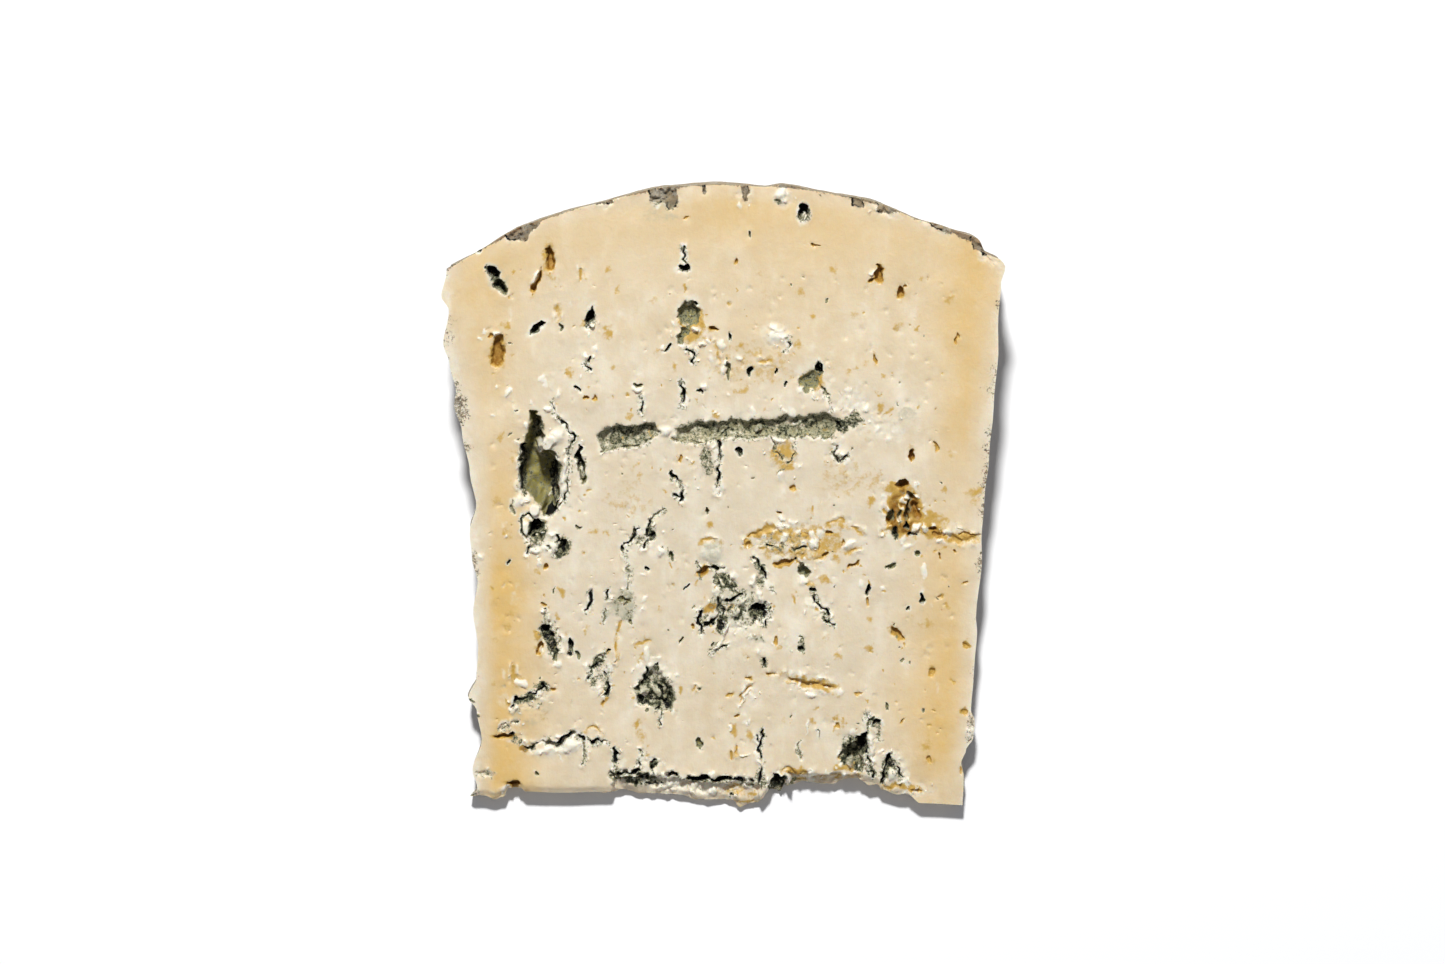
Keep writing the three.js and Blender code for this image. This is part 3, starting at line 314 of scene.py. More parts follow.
# Broad mould: x, r, length, width, turn in degrees, strength from 0 to 1.
MOULD_PATCHES = [
    (-32.4, 93.6, 3.0, 2.0, -52, 0.8), (11.8, 104.0, 3.2, 2.0, 90, 0.5),
    (8.4, 106.0, 1.4, 0.8, 20, 0.8), (-14.2, 71.8, 9.4, 3.0, 5, 0.45), (-3.6, 72.4, 7.6, 2.8, 3, 0.25),
    (11.5, 73.5, 11.5, 2.8, 3, 0.2), (19.2, 73.8, 3.0, 2.6, 60, 0.5), (-2.2, 67.6, 5.0, 2.2, 92, 0.4),
    (-27.2, 72.2, 4.6, 2.6, 85, 0.55), (-24.6, 64.5, 9.5, 1.7, 90, 0.9),
    (-29.0, 66.0, 8.0, 1.0, 90, 0.85), (-20.7, 67.0, 5.8, 1.6, 95, 0.7),
    (-27.1, 57.2, 4.6, 3.6, 80, 0.9), (-23.6, 54.8, 4.0, 3.2, 60, 0.85),
    (-29.4, 57.4, 3.4, 0.9, 90, 0.6), (-10.6, 56.9, 2.6, 1.8, 110, 0.75),
    (-12.2, 56.0, 2.6, 1.6, 30, 0.35), (-7.6, 53.4, 2.4, 1.2, 110, 0.35),
    (0.4, 49.4, 4.4, 3.2, -20, 0.6), (-0.2, 44.0, 5.8, 1.6, 92, 0.9), (2.2, 45.0, 3.6, 2.6, 10, 0.6),
    (5.2, 44.4, 3.4, 3.2, 60, 0.7), (-2.6, 43.9, 2.4, 1.4, 70, 0.4), (6.8, 46.0, 1.2, 1.4, 90, 0.5),
    (5.5, 51.6, 3.2, 1.6, 115, 0.65), (5.8, 49.4, 2.4, 1.4, 100, 0.45),
    (11.8, 51.2, 2.6, 1.8, 110, 0.5), (13.6, 47.6, 3.0, 1.2, 110, 0.4),
    (15.2, 44.0, 2.4, 1.4, 110, 0.4), (25.4, 56.8, 2.4, 1.3, 105, 0.6),
    (-25.6, 41.0, 5.4, 2.0, 105, 0.75), (-24.7, 39.2, 3.2, 1.2, 95, 0.7),
    (-22.5, 39.5, 3.4, 1.2, 90, 0.65), (-18.3, 37.4, 4.0, 1.6, 58, 0.7),
    (-17.0, 34.0, 4.4, 1.1, 88, 0.6), (-18.6, 34.6, 2.6, 1.6, 40, 0.35),
    (-26.4, 33.8, 3.0, 1.9, -15, 0.85), (-29.0, 32.0, 4.2, 1.6, 25, 0.6),
    (-10.9, 35.0, 2.8, 1.9, 60, 0.8), (-10.0, 33.2, 6.8, 5.4, 0, 0.5), (-8.2, 31.6, 3.6, 2.6, 100, 0.8),
    (-11.8, 32.0, 3.0, 1.8, 100, 0.85), (-9.6, 36.4, 1.8, 1.2, 80, 0.7),
    (-32.3, 27.4, 2.0, 1.5, 30, 0.3), (-30.6, 25.6, 2.2, 1.2, -30, 0.45),
    (-28.5, 24.5, 3.0, 0.9, -5, 0.45), (-15.9, 20.2, 2.2, 2.4, 90, 0.45),
    (-12.6, 19.4, 5.6, 2.4, 0, 0.75), (-10.2, 21.6, 1.6, 1.8, 90, 0.6), (-2.0, 19.5, 10.0, 0.9, 0, 0.5),
    (3.6, 18.6, 3.0, 1.2, 20, 0.35), (5.6, 19.6, 2.0, 3.4, 10, 0.4), (8.0, 18.8, 3.6, 2.8, 40, 0.9),
    (6.3, 37.2, 2.0, 1.3, 90, 0.45), (11.8, 40.0, 3.2, 1.0, 92, 0.4), (19.2, 23.8, 5.4, 4.0, 45, 1.0),
    (21.6, 28.8, 2.2, 1.4, 0, 0.6), (22.6, 28.2, 2.0, 1.4, 0, 0.6), (21.6, 21.6, 4.0, 1.6, 110, 0.6),
    (24.2, 21.2, 4.8, 2.2, 60, 0.7), (25.8, 20.6, 3.4, 1.3, 115, 0.6), (24.6, 51.6, 2.2, 1.0, 25, 0.35),
    (28.5, 53.8, 1.5, 1.2, 0, 0.3), (12.6, 80.2, 3.0, 2.0, 70, 0.2), (-34.2, 96.0, 1.6, 1.2, -50, 0.4),
    (-19.2, 88.6, 3.2, 1.6, 68, 0.4), (-1.4, 39.8, 2.6, 0.8, 35, 0.35),
    (-36.9, 31.6, 1.1, 0.7, -40, 0.6), (-36.4, 29.3, 1.3, 0.8, 110, 0.6),
    (17.4, 72.8, 2.2, 2.6, 80, 0.8),
]
SMEARS = [
    (27, 74.6, 4.6, 2.6, 10, 0.35), (-32.8, 95, 6.0, 4.0, -52, 0.35), (-8.5, 104.6, 7.0, 4.0, 0, 0.3),
    (-14.5, 46, 4.6, 6.0, 0, 0.55), (-17, 45.6, 2.2, 5.0, 0, 0.3), (-1.5, 53.8, 4.8, 4.6, 0, 0.45),
    (-27.2, 29.4, 7.0, 4.5, 20, 0.22), (-30.4, 29.4, 3.0, 2.4, 60, 0.35), (-26, 66, 7.0, 15, 0, 0.3),
    (-9, 59, 5.0, 5.0, 0, 0.15), (5, 41, 1.6, 4.0, 90, 0.35), (11.8, 40.5, 3.6, 1.3, 92, 0.4),
    (8.4, 56, 5.0, 3.2, 10, 0.2), (11, 55.4, 3.2, 2.4, 10, 0.25), (19.2, 24.4, 6.0, 5.0, 45, 0.3),
    (-9.6, 30, 4.0, 3.0, 90, 0.25), (-9.8, 38.6, 1.6, 3.0, 0, 0.25), (-12, 19.4, 8.0, 3.8, 0, 0.35),
    (-1, 19.4, 13, 1.6, 0, 0.25), (2, 46, 10, 8.0, 0, 0.36), (5.6, 22.5, 1.4, 8.0, 0, 0.22),
    (23, 26.5, 2.2, 4.4, 0, 0.25), (24.8, 21.2, 4.4, 4.8, 0, 0.25), (-18, 36, 5.0, 6.0, 0, 0.2),
    (-25.4, 41, 4.0, 7.0, 0, 0.2), (-13.6, 50.5, 1.6, 5.0, 0, 0.25), (26.3, 61.5, 3.2, 5.6, 0, 0.12),
    (0, 72, 42, 6.0, 4, 0.16), (-31.6, 52.6, 2.6, 2.0, 30, 0.25), (29.2, 45.6, 1.6, 3.0, 0, 0.2),
]
AMBER_STAINS = [
    (26.8, 60, 6.8, 9.6, 0, 0.6), (30.5, 58, 4.6, 5.6, 0, 0.35), (34.5, 56.2, 7.0, 1.6, 0, 0.45),
    (31.6, 56.8, 2.2, 2.2, 0, 0.5), (13.5, 34.2, 8.5, 2.2, -15, 0.35), (-29.4, 24.3, 2.0, 1.2, 0, 0.6),
    (-32.3, 26.1, 4.2, 1.2, 3, 0.4), (18.4, 21.4, 6.0, 1.6, 8, 0.35), (11, 20.8, 4.6, 1.2, 0, 0.45),
    (9, 52.3, 4.0, 1.4, 18, 0.4), (4, 55, 2.4, 1.6, 0, 0.35), (6, 57, 5.4, 2.0, 12, 0.4),
    (-2.8, 51, 2.6, 1.8, 20, 0.4), (-1.9, 45.6, 3.2, 1.4, 30, 0.5), (13.2, 79.6, 4.6, 4.0, 60, 0.4),
    (9, 68.5, 4.8, 6.0, 0, 0.3), (4, 82, 16, 9.0, 0, 0.12), (19, 65, 14, 8.0, 0, 0.1),
    (12, 55.5, 15, 6.4, 0, 0.27), (-14, 62, 10, 7.0, 0, 0.1), (27.4, 18.4, 5.0, 1.6, -8, 0.4),
    (-28.2, 58.0, 3.0, 3.6, 0, 0.15), (-23.2, 54.6, 2.2, 2.4, 0, 0.35), (25.4, 64, 5.0, 1.6, 20, 0.4),
    (35.8, 30.1, 1.6, 1.8, 0, 0.35), (37.2, 62.6, 1.8, 3.4, 0, 0.3), (-25.4, 97.4, 5.6, 2.6, 92, 0.3),
    (-33, 84, 6.0, 3.0, 82, 0.3), (-4.6, 88, 5.0, 7.0, 0, 0.35), (35.9, 40.1, 1.6, 1.4, 0, 0.45),
    (-30.6, 35, 1.6, 3.6, 20, 0.35), (-31, 18.9, 2.4, 1.2, 0, 0.7), (1, 17.4, 9.0, 1.8, 0, 0.2),
    (30, 24, 5.0, 9.0, 0, 0.06), (16.6, 58.2, 5.0, 2.0, 0, 0.2),
]
CURDS = [
    (-27.2, 95.0, 3.2, 0.9, 75, 0.5), (-28.3, 101.7, 1.4, 0.9, 30, 0.3),
    (-19.0, 87.8, 0.9, 0.7, 60, 1.2), (21.9, 95.6, 1.4, 0.7, 40, 0.4), (11.9, 103.6, 1.2, 0.8, 80, 1.0),
    (8.6, 107.0, 2.4, 2.2, 0, 0.5), (3.2, 106.8, 1.8, 0.9, 85, 0.4), (-4.0, 87.0, 1.4, 1.1, 0, 0.9),
    (-3.0, 85.0, 1.2, 0.9, 40, 0.5), (7.8, 86.4, 3.8, 2.8, 80, 0.4), (-20.2, 83.2, 1.8, 1.0, 110, 0.3),
    (-12.5, 78.2, 1.6, 1.1, 0, 0.5), (0.0, 81.0, 1.8, 0.9, 90, 0.4), (-2.6, 78.6, 1.4, 0.9, 20, 0.4),
    (-25.5, 75.5, 1.3, 1.1, 0, 0.4), (-26.0, 69.8, 4.8, 2.6, 48, 4.9), (-24.3, 71.2, 3.4, 2.4, 35, 0.9),
    (-23.2, 65.2, 9.4, 1.0, 88, 0.5), (-20.5, 65.5, 1.8, 0.9, 88, 2.2),
    (-29.3, 61.5, 3.8, 2.8, 20, 0.5), (-27.6, 60.3, 2.2, 1.6, 60, 2.0),
    (-28.9, 57.5, 2.6, 1.1, 88, 1.6), (-27.5, 54.2, 2.2, 1.1, 0, 0.5), (-25.2, 56.5, 1.4, 1.0, 10, 0.5),
    (-24.7, 54.6, 2.3, 1.9, 0, 0.6), (-32.0, 56.4, 1.0, 0.8, 30, 0.3), (-26.9, 52.5, 0.9, 1.4, 0, 0.3),
    (-35.7, 53.1, 1.2, 0.8, 120, 0.4), (5.4, 72.5, 1.5, 1.2, 0, 1.3), (-8.2, 72.0, 1.8, 2.2, 90, 0.5),
    (17.6, 68.7, 0.9, 0.8, 0, 0.4), (-1.5, 53.9, 4.2, 3.8, 0, 0.4), (13.4, 55.3, 2.4, 1.8, 68, 0.5),
    (8.8, 55.9, 1.8, 1.2, 50, 0.4), (11.9, 49.4, 1.6, 1.6, 60, 0.4), (4.6, 49.4, 2.4, 1.5, 80, 0.5),
    (5.6, 47.6, 2.8, 1.0, 100, 0.4), (8.8, 59.0, 1.1, 0.8, 20, 0.3), (-9.3, 53.8, 1.6, 1.2, 30, 0.4),
    (0.3, 42.0, 3.4, 0.8, 72, 1.0), (1.4, 44.6, 1.6, 1.2, 40, 0.4), (3.0, 46.4, 2.4, 0.9, 45, 0.5),
    (-0.7, 39.9, 2.8, 0.6, 42, 0.4), (28.4, 57.5, 1.9, 1.2, 45, 0.9), (30.0, 57.5, 1.3, 1.3, 0, 0.7),
    (28.4, 62.2, 1.2, 0.8, -40, 0.4), (24.5, 60.4, 1.2, 0.5, 90, 0.3), (18.6, 55.2, 3.2, 1.2, 28, 0.4),
    (27.2, 54.8, 3.4, 1.0, 25, 0.2), (-22.6, 24.6, 3.8, 3.0, 30, 0.5), (-26.0, 24.0, 4.6, 1.8, 12, 0.4),
    (-29.6, 34.4, 2.6, 1.4, -20, 0.3), (-32.3, 27.1, 1.0, 0.8, 30, 0.3),
    (-12.0, 32.8, 1.0, 0.6, 0, 0.8), (-11.2, 38.6, 3.0, 1.3, 95, 0.3), (-18.2, 33.0, 2.4, 0.9, 75, 0.3),
    (3.4, 32.0, 4.4, 0.6, 60, 0.3), (13.0, 32.4, 2.2, 0.8, 0, 0.3), (3.3, 23.2, 2.4, 0.5, 10, 0.3),
    (12.4, 27.5, 3.4, 0.4, 88, 0.2), (-9.9, 20.4, 1.2, 0.8, 85, 0.8), (-11.8, 18.9, 1.6, 1.0, 0, 0.6),
    (-1.6, 17.6, 1.6, 1.2, 50, 0.4), (-7.4, 18.7, 2.4, 1.2, 20, 0.3), (22.0, 24.2, 6.6, 1.2, 98, 0.5),
    (18.9, 22.1, 1.7, 1.3, 60, 1.2), (25.2, 20.4, 2.8, 1.9, 80, 0.6), (21.4, 21.8, 2.4, 0.7, 110, 0.5),
    (9.8, 19.8, 1.6, 0.9, 90, 0.9), (-15.9, 19.8, 0.6, 0.5, 0, 0.7), (26.2, 18.9, 1.4, 0.8, 20, 0.5),
    (-30.6, 17.6, 1.0, 0.8, 0, 0.2), (29.6, 51.0, 1.2, 3.0, 0, 0.2), (-16.2, 21.0, 0.9, 0.8, 0, 0.3),
    (36.6, 26.6, 0.9, 3.8, 0, 0.3), (1.2, 27.2, 0.5, 3.6, 0, 0.2),
]

# Broad hollows: depth, width of the slope, stains of the floor, and the (x, r) corners.
HOLLOWS = [
    # the large hollow at the left, under a bridge of curd
    (5.0, 1.1, {"mould": 0.18, "olive": 1.0},
     [(-28, 75.4), (-28.9, 72), (-29.7, 68), (-29.7, 64), (-28.3, 62.6), (-26.9, 61), (-26.2, 59.3),
      (-24.6, 60.2), (-23.8, 63.5), (-23.7, 67), (-24.8, 69.4), (-26.2, 72), (-26.4, 74.6)]),
    # the channel left by a piercing needle, in two lengths with a plug of curd between them
    (1.5, 1.0, {"mould": 0.5, "smear": 0.9, "olive": 0.15},
     [(-18.5, 71.6), (-17.2, 72.9), (-14.5, 72.9), (-10, 73.5), (-8.9, 72), (-10.5, 70.5), (-14, 69.6),
      (-17.5, 68.7)]),
    (1.1, 1.0, {"mould": 0.42, "smear": 0.9, "olive": 0.55},
     [(-7.5, 72.4), (-3, 73.6), (4, 74.0), (10, 74.5), (15.5, 74.9), (17.6, 73), (16, 71.1), (10, 71.1),
      (4, 71.0), (-3, 70.3), (-7, 70.6)]),
    # the mouldy leaf-shaped hollow
    (1.1, 1.2, {"mould": 0.34, "smear": 0.9},
     [(-13.2, 33.6), (-11.4, 36), (-9.6, 37.2), (-8.4, 35.2), (-6.5, 32.4), (-7.4, 29.6), (-10, 30),
      (-12.7, 31.2)]),
    # the deep recess at the lower right
    (3.4, 0.8, {"mould": 1.0, "smear": 0.9},
     [(16.8, 23.4), (18.5, 24.5), (20, 26.1), (21.3, 27.2), (21.2, 24), (20.9, 20.4), (19.5, 21),
      (18.2, 22.2)]),
    # the notch at the broken tip
    (2.6, 0.9, {"mould": 0.85},
     [(6.6, 17), (6.9, 19.2), (8.4, 20.2), (9.4, 19.8), (9.8, 18.6), (8.8, 16.5)]),
    # the crumbly terrace of the broken tip, below its long crack
    (1.4, 0.6, {"amber": 0.1},
     [(-16.6, 19.9), (-12, 20.4), (-8.4, 20.1), (-3, 19.3), (5.6, 19.2), (6.2, 14.5), (-16.6, 14.5)]),
    # the ledge along the broken tip
    (1.3, 0.6, {"amber": 0.15},
     [(9.6, 20.8), (13, 20.4), (15, 20.5), (20.6, 20.3), (20.6, 18), (9.4, 17)]),
]

# Patches of grey fibrous rind that reach onto the cut face: the (x, r) corners of each.
RIM_PATCHES = [
    [(-31.8, 100.8), (-30.4, 100.1), (-28.6, 100.2), (-27.4, 101.6), (-25.6, 103.4), (-26.6, 105),
     (-31.6, 102.6)],
    [(-19.8, 106.4), (-18.4, 105.2), (-17.2, 105.6), (-16.2, 105.2), (-15.3, 106.8), (-15.4, 109),
     (-20.4, 108)],
    [(-11.0, 108), (-10.7, 105.8), (-8.6, 105.5), (-7.6, 104.8), (-6.4, 105.4), (-6.2, 109.5),
     (-11, 109)],
    [(-3.1, 109), (-3.0, 107.2), (-2.6, 106.7), (-2.2, 107.4), (-2.2, 109)],
    [(2.6, 109.5), (2.6, 106.6), (3.1, 105.6), (3.8, 106.0), (3.9, 109.5)],
    [(18.4, 108), (18.9, 105.1), (20.6, 104.8), (20.9, 108)],
    [(21.8, 107), (22.0, 104.3), (23.6, 103.8), (25.1, 104.2), (25.6, 106.4)],
    [(26.8, 106), (27.2, 103.4), (29.4, 102.9), (31.4, 101.6), (33.2, 101.0), (33.6, 104)],
    [(35.8, 101), (36.2, 98.9), (37.8, 98.0), (39.2, 98.4), (40.6, 99.4), (38.6, 101.5)],
    [(-36.2, 99.6), (-35.7, 98.5), (-35.0, 98.7), (-34.6, 100.2), (-35.6, 100.6)],
]

# Where the paste is crumbly: x, r, length, width, turn in degrees, how crumbly from 0 to 1.
CRUMBLY = [
    (-26.2, 66, 18, 9, 95, 0.4), (-26.5, 56.4, 7, 7, 0, 0.8), (-11, 56.2, 6, 6, 0, 0.7),
    (-7.6, 53.6, 4, 3.5, 110, 0.5), (0.2, 49.6, 6, 5, 0, 0.9), (2.6, 45, 13, 9, 0, 0.95),
    (9.5, 55.4, 15, 7, 5, 0.9), (12, 50.5, 6, 4.5, 100, 0.9), (14.2, 45.8, 7, 5, 105, 0.8),
    (-13.2, 71.2, 13, 6.4, 7, 0.4), (5, 72.9, 30, 6.4, 3, 0.45), (18.6, 76.4, 8, 5, 0, 0.8),
    (23.4, 72.6, 9, 5, 0, 0.6), (26.4, 60, 10, 11, 0, 0.9), (32.6, 57, 9, 4.5, 0, 0.8),
    (-4.6, 87.4, 7, 10, 0, 0.8), (0.2, 81, 9, 9, 0, 0.5), (7.6, 86.2, 6, 7, 0, 0.6),
    (13.4, 79.8, 8, 8, 0, 0.7), (-19.6, 85, 5, 12, 0, 0.5), (-23.4, 79, 7, 6, 0, 0.5),
    (-8, 82.6, 5, 7, 0, 0.4), (-25.4, 40.6, 5, 11, 0, 0.8), (-22.4, 39.2, 3.5, 5, 0, 0.5),
    (-18.2, 36, 6, 9, 0, 0.7), (-10, 33.6, 9, 11, 0, 0.9), (-28.4, 31.8, 9, 5, 15, 0.7),
    (-24.4, 24.6, 15, 5, 4, 0.7), (-15.6, 21.4, 4, 7, 0, 0.6), (-10.8, 21, 6, 7, 0, 0.9),
    (-4, 18.4, 24, 4.6, 0, 1.0), (8.2, 19, 6, 5, 0, 1.0), (19.6, 23.4, 9, 9, 0, 0.9),
    (25.2, 21.4, 7, 8, 0, 0.9), (13.2, 34, 12, 4, -12, 0.8), (3.6, 32, 6, 9, 0, 0.5),
    (28, 18, 10, 3.5, 0, 0.8), (14, 19.6, 14, 3, 3, 0.8), (-31, 26.4, 7, 4, 0, 0.6),
    (-32, 17.6, 7, 3, 0, 0.7), (-5.4, 64, 6, 6, 0, 0.4), (9, 68.4, 7, 8, 0, 0.5),
    (-20.6, 67, 4, 8, 0, 0.7), (-3, 68, 5, 9, 0, 0.5), (16.8, 69, 5, 5, 0, 0.5),
    (-34, 82, 6, 12, 0, 0.3), (-30, 75, 8, 8, 0, 0.3), (-14, 48, 7, 16, 0, 0.4), (22, 48, 5, 8, 0, 0.3),
    (5.6, 40.6, 14, 5, 0, 0.5), (22.2, 27.8, 5, 6, 0, 0.8), (-8.4, 106.3, 7, 4, 0, 0.7),
    (-17.8, 105.8, 7, 3, 12, 0.7), (3.2, 106.6, 4, 4, 0, 0.7), (8.8, 106.4, 4, 4, 0, 0.8),
    (23.6, 104.6, 8, 3, -20, 0.7), (31, 102.4, 8, 3, -28, 0.7), (-29, 101.8, 8, 4, 30, 0.7),
    (38.6, 98, 5, 4, 0, 0.8), (6, 23, 3, 9, 0, 0.5),
]
CRUMB_SIZE = 1.35
CRUMB_HEIGHT = 0.34
CRUMB_EVERYWHERE = 0.16
CRUMB_GAP_DEPTH = 0.7
CRUMBS_A_SQUARE_MM = 0.22

# How each kind of mark is coloured: shares of the stains it leaves. The dark share of holes and cracks is
# near black: dark mould with painted shade in their depths.
HOLE_STAINS = {
    "black": {"dark": 1.0, "mould": 0.8},
    "olive": {"dark": 0.3, "mould": 0.45, "olive": 0.9},
    "amber": {"amber": 1.0, "dark": 0.16},
    "dimple": {"amber": 0.1, "smear": 0.2},
}
HALO_STAINS = {
    "black": ("curd", 0.8),
    "olive": ("curd", 0.6),
    "amber": ("amber", 0.25),
    "dimple": ("curd", 0.2),
}
LINE_STAINS = {
    "black": {"dark": 1.0, "mould": 0.8},
    "olive": {"dark": 0.15, "mould": 0.4, "olive": 0.6},
    "amber": {"amber": 0.7, "dark": 0.1},
}
SPECK_STAINS = {"black": ("mould", 0.6), "olive": ("mould", 0.4), "amber": ("amber", 0.35)}
STAINS = ("ripe", "curd", "smear", "amber", "olive", "mould", "dark", "rind")

# Unevenness of the marks: jagged holes, lines that swell, break off and gather specks and beads of curd, and
# patches, folds, floors and flakes that are never even.
HOLE_JAGS = Bumps(0.16, 0.5, 25)
LINE_SWELL = Bumps(0.85, 0.8, 21)
LINE_BREAKS = Bumps(1.0, 1.2, 22)
LINE_BEADS = Bumps(1.4, 0.75, 23)
LINE_SPECKS = Bumps(1.3, 0.35, 24)
PATCH_GRAIN = Bumps(0.4, 0.55, 31)
PATCH_BLOTCH = Bumps(0.5, 1.3, 32)
MOULD_BUMPS = Bumps(0.45, 0.6, 33)
RIM_BREAKS = Bumps(1.2, 0.8, 34)
RIM_FOLDS = Bumps(0.45, 0.5, 35)
CURD_FACETS = Bumps(0.5, 0.7, 36)
FLOOR_BUMPS = Bumps(0.3, 0.8, 37)

# How far the relief of the cut face carries on down the walls: a multiple of its own depth, but at least a
# share of the wall. The roughness of the walls turns under their lower edge by a share of the underside.
WALL_FADE = 1.7
SHORTEST_WALL_FADE = 0.08
WALL_TURN = 0.06

# The broken tip is rounded off at its edge, all along it but for its right end. The rind bulges out at the
# cut and leans in below it, and the two flat faces lean in by a share of that.
TIP_DROOP = 0.5
TIP_DROOP_REACH = 1.0
TIP_DROOP_END_X = 28
RIND_BULGE = 0.6
RIND_LEAN = 1.2
SIDE_LEAN_SHARE = 0.15


# A repeatable random number from 0 to 1 at each corner of a grid: its place and the layer, mixed with
# large odd numbers in 32 bits.
MIXERS = (374761393, 668265263, 1442695041)
LAST_MIXER = np.uint32(1274126177)
ALL_BITS = 0xFFFFFFFF


def lattice_value(i, j, layer):
    bits = (i * MIXERS[0]) ^ (j * MIXERS[1]) ^ (layer * MIXERS[2])
    bits = (bits & ALL_BITS).astype(np.uint32)
    bits = (bits ^ (bits >> np.uint32(13))) * LAST_MIXER
    return (bits ^ (bits >> np.uint32(16))).astype(np.float64) / (ALL_BITS + 1)


def ease(t):
    return t * t * (3 - 2 * t)


def clamp01(t):
    return np.clip(t, 0.0, 1.0)


def mix(a, b, t):
    return a + (b - a) * t


# Rises smoothly from 0 to 1 over a width, and stays there.
def rise(t, width):
    return ease(clamp01(t / width))


# Smooth unevenness of one kind, repeatable and different on each layer.
def unevenness(bumps, a, b):
    height, spacing, layer = bumps
    i = np.floor(a / spacing).astype(np.int64)
    j = np.floor(b / spacing).astype(np.int64)
    s = ease(a / spacing - i)
    t = ease(b / spacing - j)
    low = mix(lattice_value(i, j, layer), lattice_value(i + 1, j, layer), s)
    high = mix(lattice_value(i, j + 1, layer), lattice_value(i + 1, j + 1, layer), s)
    return height * (2 * mix(low, high, t) - 1)


# The value of an outline at each place along it, with rounded turns between its points.
def along(outline, place):
    points = np.array(sorted(outline), dtype=float)
    k = np.clip(np.searchsorted(points[:, 0], place) - 1, 0, len(points) - 2)
    start, end = points[k], points[k + 1]
    share = clamp01((place - start[..., 0]) / (end[..., 0] - start[..., 0]))
    return mix(start[..., 1], end[..., 1], ease(share))


# Smooth outline of the cut face: the two flat faces of the wheel, dished a little, and the round rind.
def left_face(r):
    share = clamp01((r - NEAR_TIP_RADIUS) / (NEAR_RIND_RADIUS - NEAR_TIP_RADIUS))
    return mix(LEFT_FACE_X["tip"], LEFT_FACE_X["rind"], ease(share))


def right_face(r):
    share = clamp01((r - TIP_RADIUS) / (NEAR_RIND_RADIUS - TIP_RADIUS))
    return mix(RIGHT_FACE_X["tip"], RIGHT_FACE_X["rind"], share)


def rind_radius(x):
    return WHEEL_RADIUS - RIND_CURVE_RADIUS + np.sqrt(RIND_CURVE_RADIUS**2 - (x - RIND_CURVE_X) ** 2)


# The spot (x, r) of the cut face at shares u across it and v from the tip to the rind.
# The true outline pulls on a narrow band inside the edge only.
def face_spot(u, v):
    x = mix(LEFT_FACE_X["tip"], RIGHT_FACE_X["tip"], u)
    for _ in range(4):
        r = mix(TIP_RADIUS, rind_radius(x), v)
        x = mix(left_face(r), right_face(r), u)
    pull_x = (along(LEFT_OUTLINE, r) - left_face(r)) * edge_hold(x - left_face(r))
    pull_x += (along(RIGHT_OUTLINE, r) - right_face(r)) * edge_hold(right_face(r) - x)
    pull_r = (along(TIP_OUTLINE, x) - TIP_RADIUS) * edge_hold(r - TIP_RADIUS)
    pull_r += (along(RIND_OUTLINE, x) + RIND_BULGE) * edge_hold(rind_radius(x) - r)
    return x + pull_x, r + pull_r


def edge_hold(distance):
    return ease(clamp01(1 - distance / EDGE_FADE))


# Shifts of the spots where marks are looked up, so that none has a clean edge.
RAGGED_ACROSS = (Bumps(0.22, 1.9, 11), Bumps(0.27, 0.62, 12))
RAGGED_UP = (Bumps(0.22, 1.9, 13), Bumps(0.27, 0.62, 14))


def ragged(x, r):
    shift_x = sum(unevenness(bumps, x, r) for bumps in RAGGED_ACROSS)
    shift_r = sum(unevenness(bumps, x, r) for bumps in RAGGED_UP)
    return x + shift_x, r + shift_r


# How far inside an oval each spot is: 1 at its middle, 0 on its edge and outside it.
def oval_share(oval, x, r, grow=1.0):
    angle = math.radians(oval.turn)
    dx, dr = x - oval.x, r - oval.r
    lengthwise = (dx * math.cos(angle) + dr * math.sin(angle)) / (oval.length * grow / 2)
    sideways = (dr * math.cos(angle) - dx * math.sin(angle)) / (oval.width * grow / 2)
    return clamp01(1 - np.hypot(lengthwise, sideways))


# Distance from each spot to the stretch a-b.
def stretch_distance(a, b, x, r):
    dx, dr = b[0] - a[0], b[1] - a[1]
    t = clamp01(((x - a[0]) * dx + (r - a[1]) * dr) / (dx * dx + dr * dr))
    return np.hypot(x - a[0] - dx * t, r - a[1] - dr * t)


# Which spots lie inside a ring of corners, and how far each is from the nearest side.
def ring_depth(corners, x, r):
    inside = np.zeros(x.shape, dtype=bool)
    edge = np.full(x.shape, np.inf)
    for a, b in zip(corners, corners[1:] + corners[:1]):
        edge = np.minimum(edge, stretch_distance(a, b, x, r))
        crosses = (a[1] > r) != (b[1] > r)
        with np.errstate(divide="ignore", invalid="ignore"):
            inside ^= crosses & (x < a[0] + (r - a[1]) * (b[0] - a[0]) / (b[1] - a[1]))
    return inside, edge


# Holes: how far they spread past their ovals, the shares of an oval where they are fully deep and fully
# stained, how much painted shade darkens them at the middle and how much more towards the rind, under the
# lip that hides them from the key light, and how strongly an ochre one is stained by its depth: its own
# ochre, turned browner in deep holes as painted shade of their floors.
HOLE_SPREAD = 1.15
HOLE_FLOOR = 0.5
HOLE_LIP = 0.25
HOLE_SHADE = 0.7
HOLE_SHADE_SLOPE = 1.2
AMBER_SHALLOW = 0.45
OCHRE_AND_SHADE_A_MM = 0.5

# Halos round holes and lines.
HALO_SPREAD = 2.2
HALO_GAIN = 1.6
LINE_HALO = 0.6

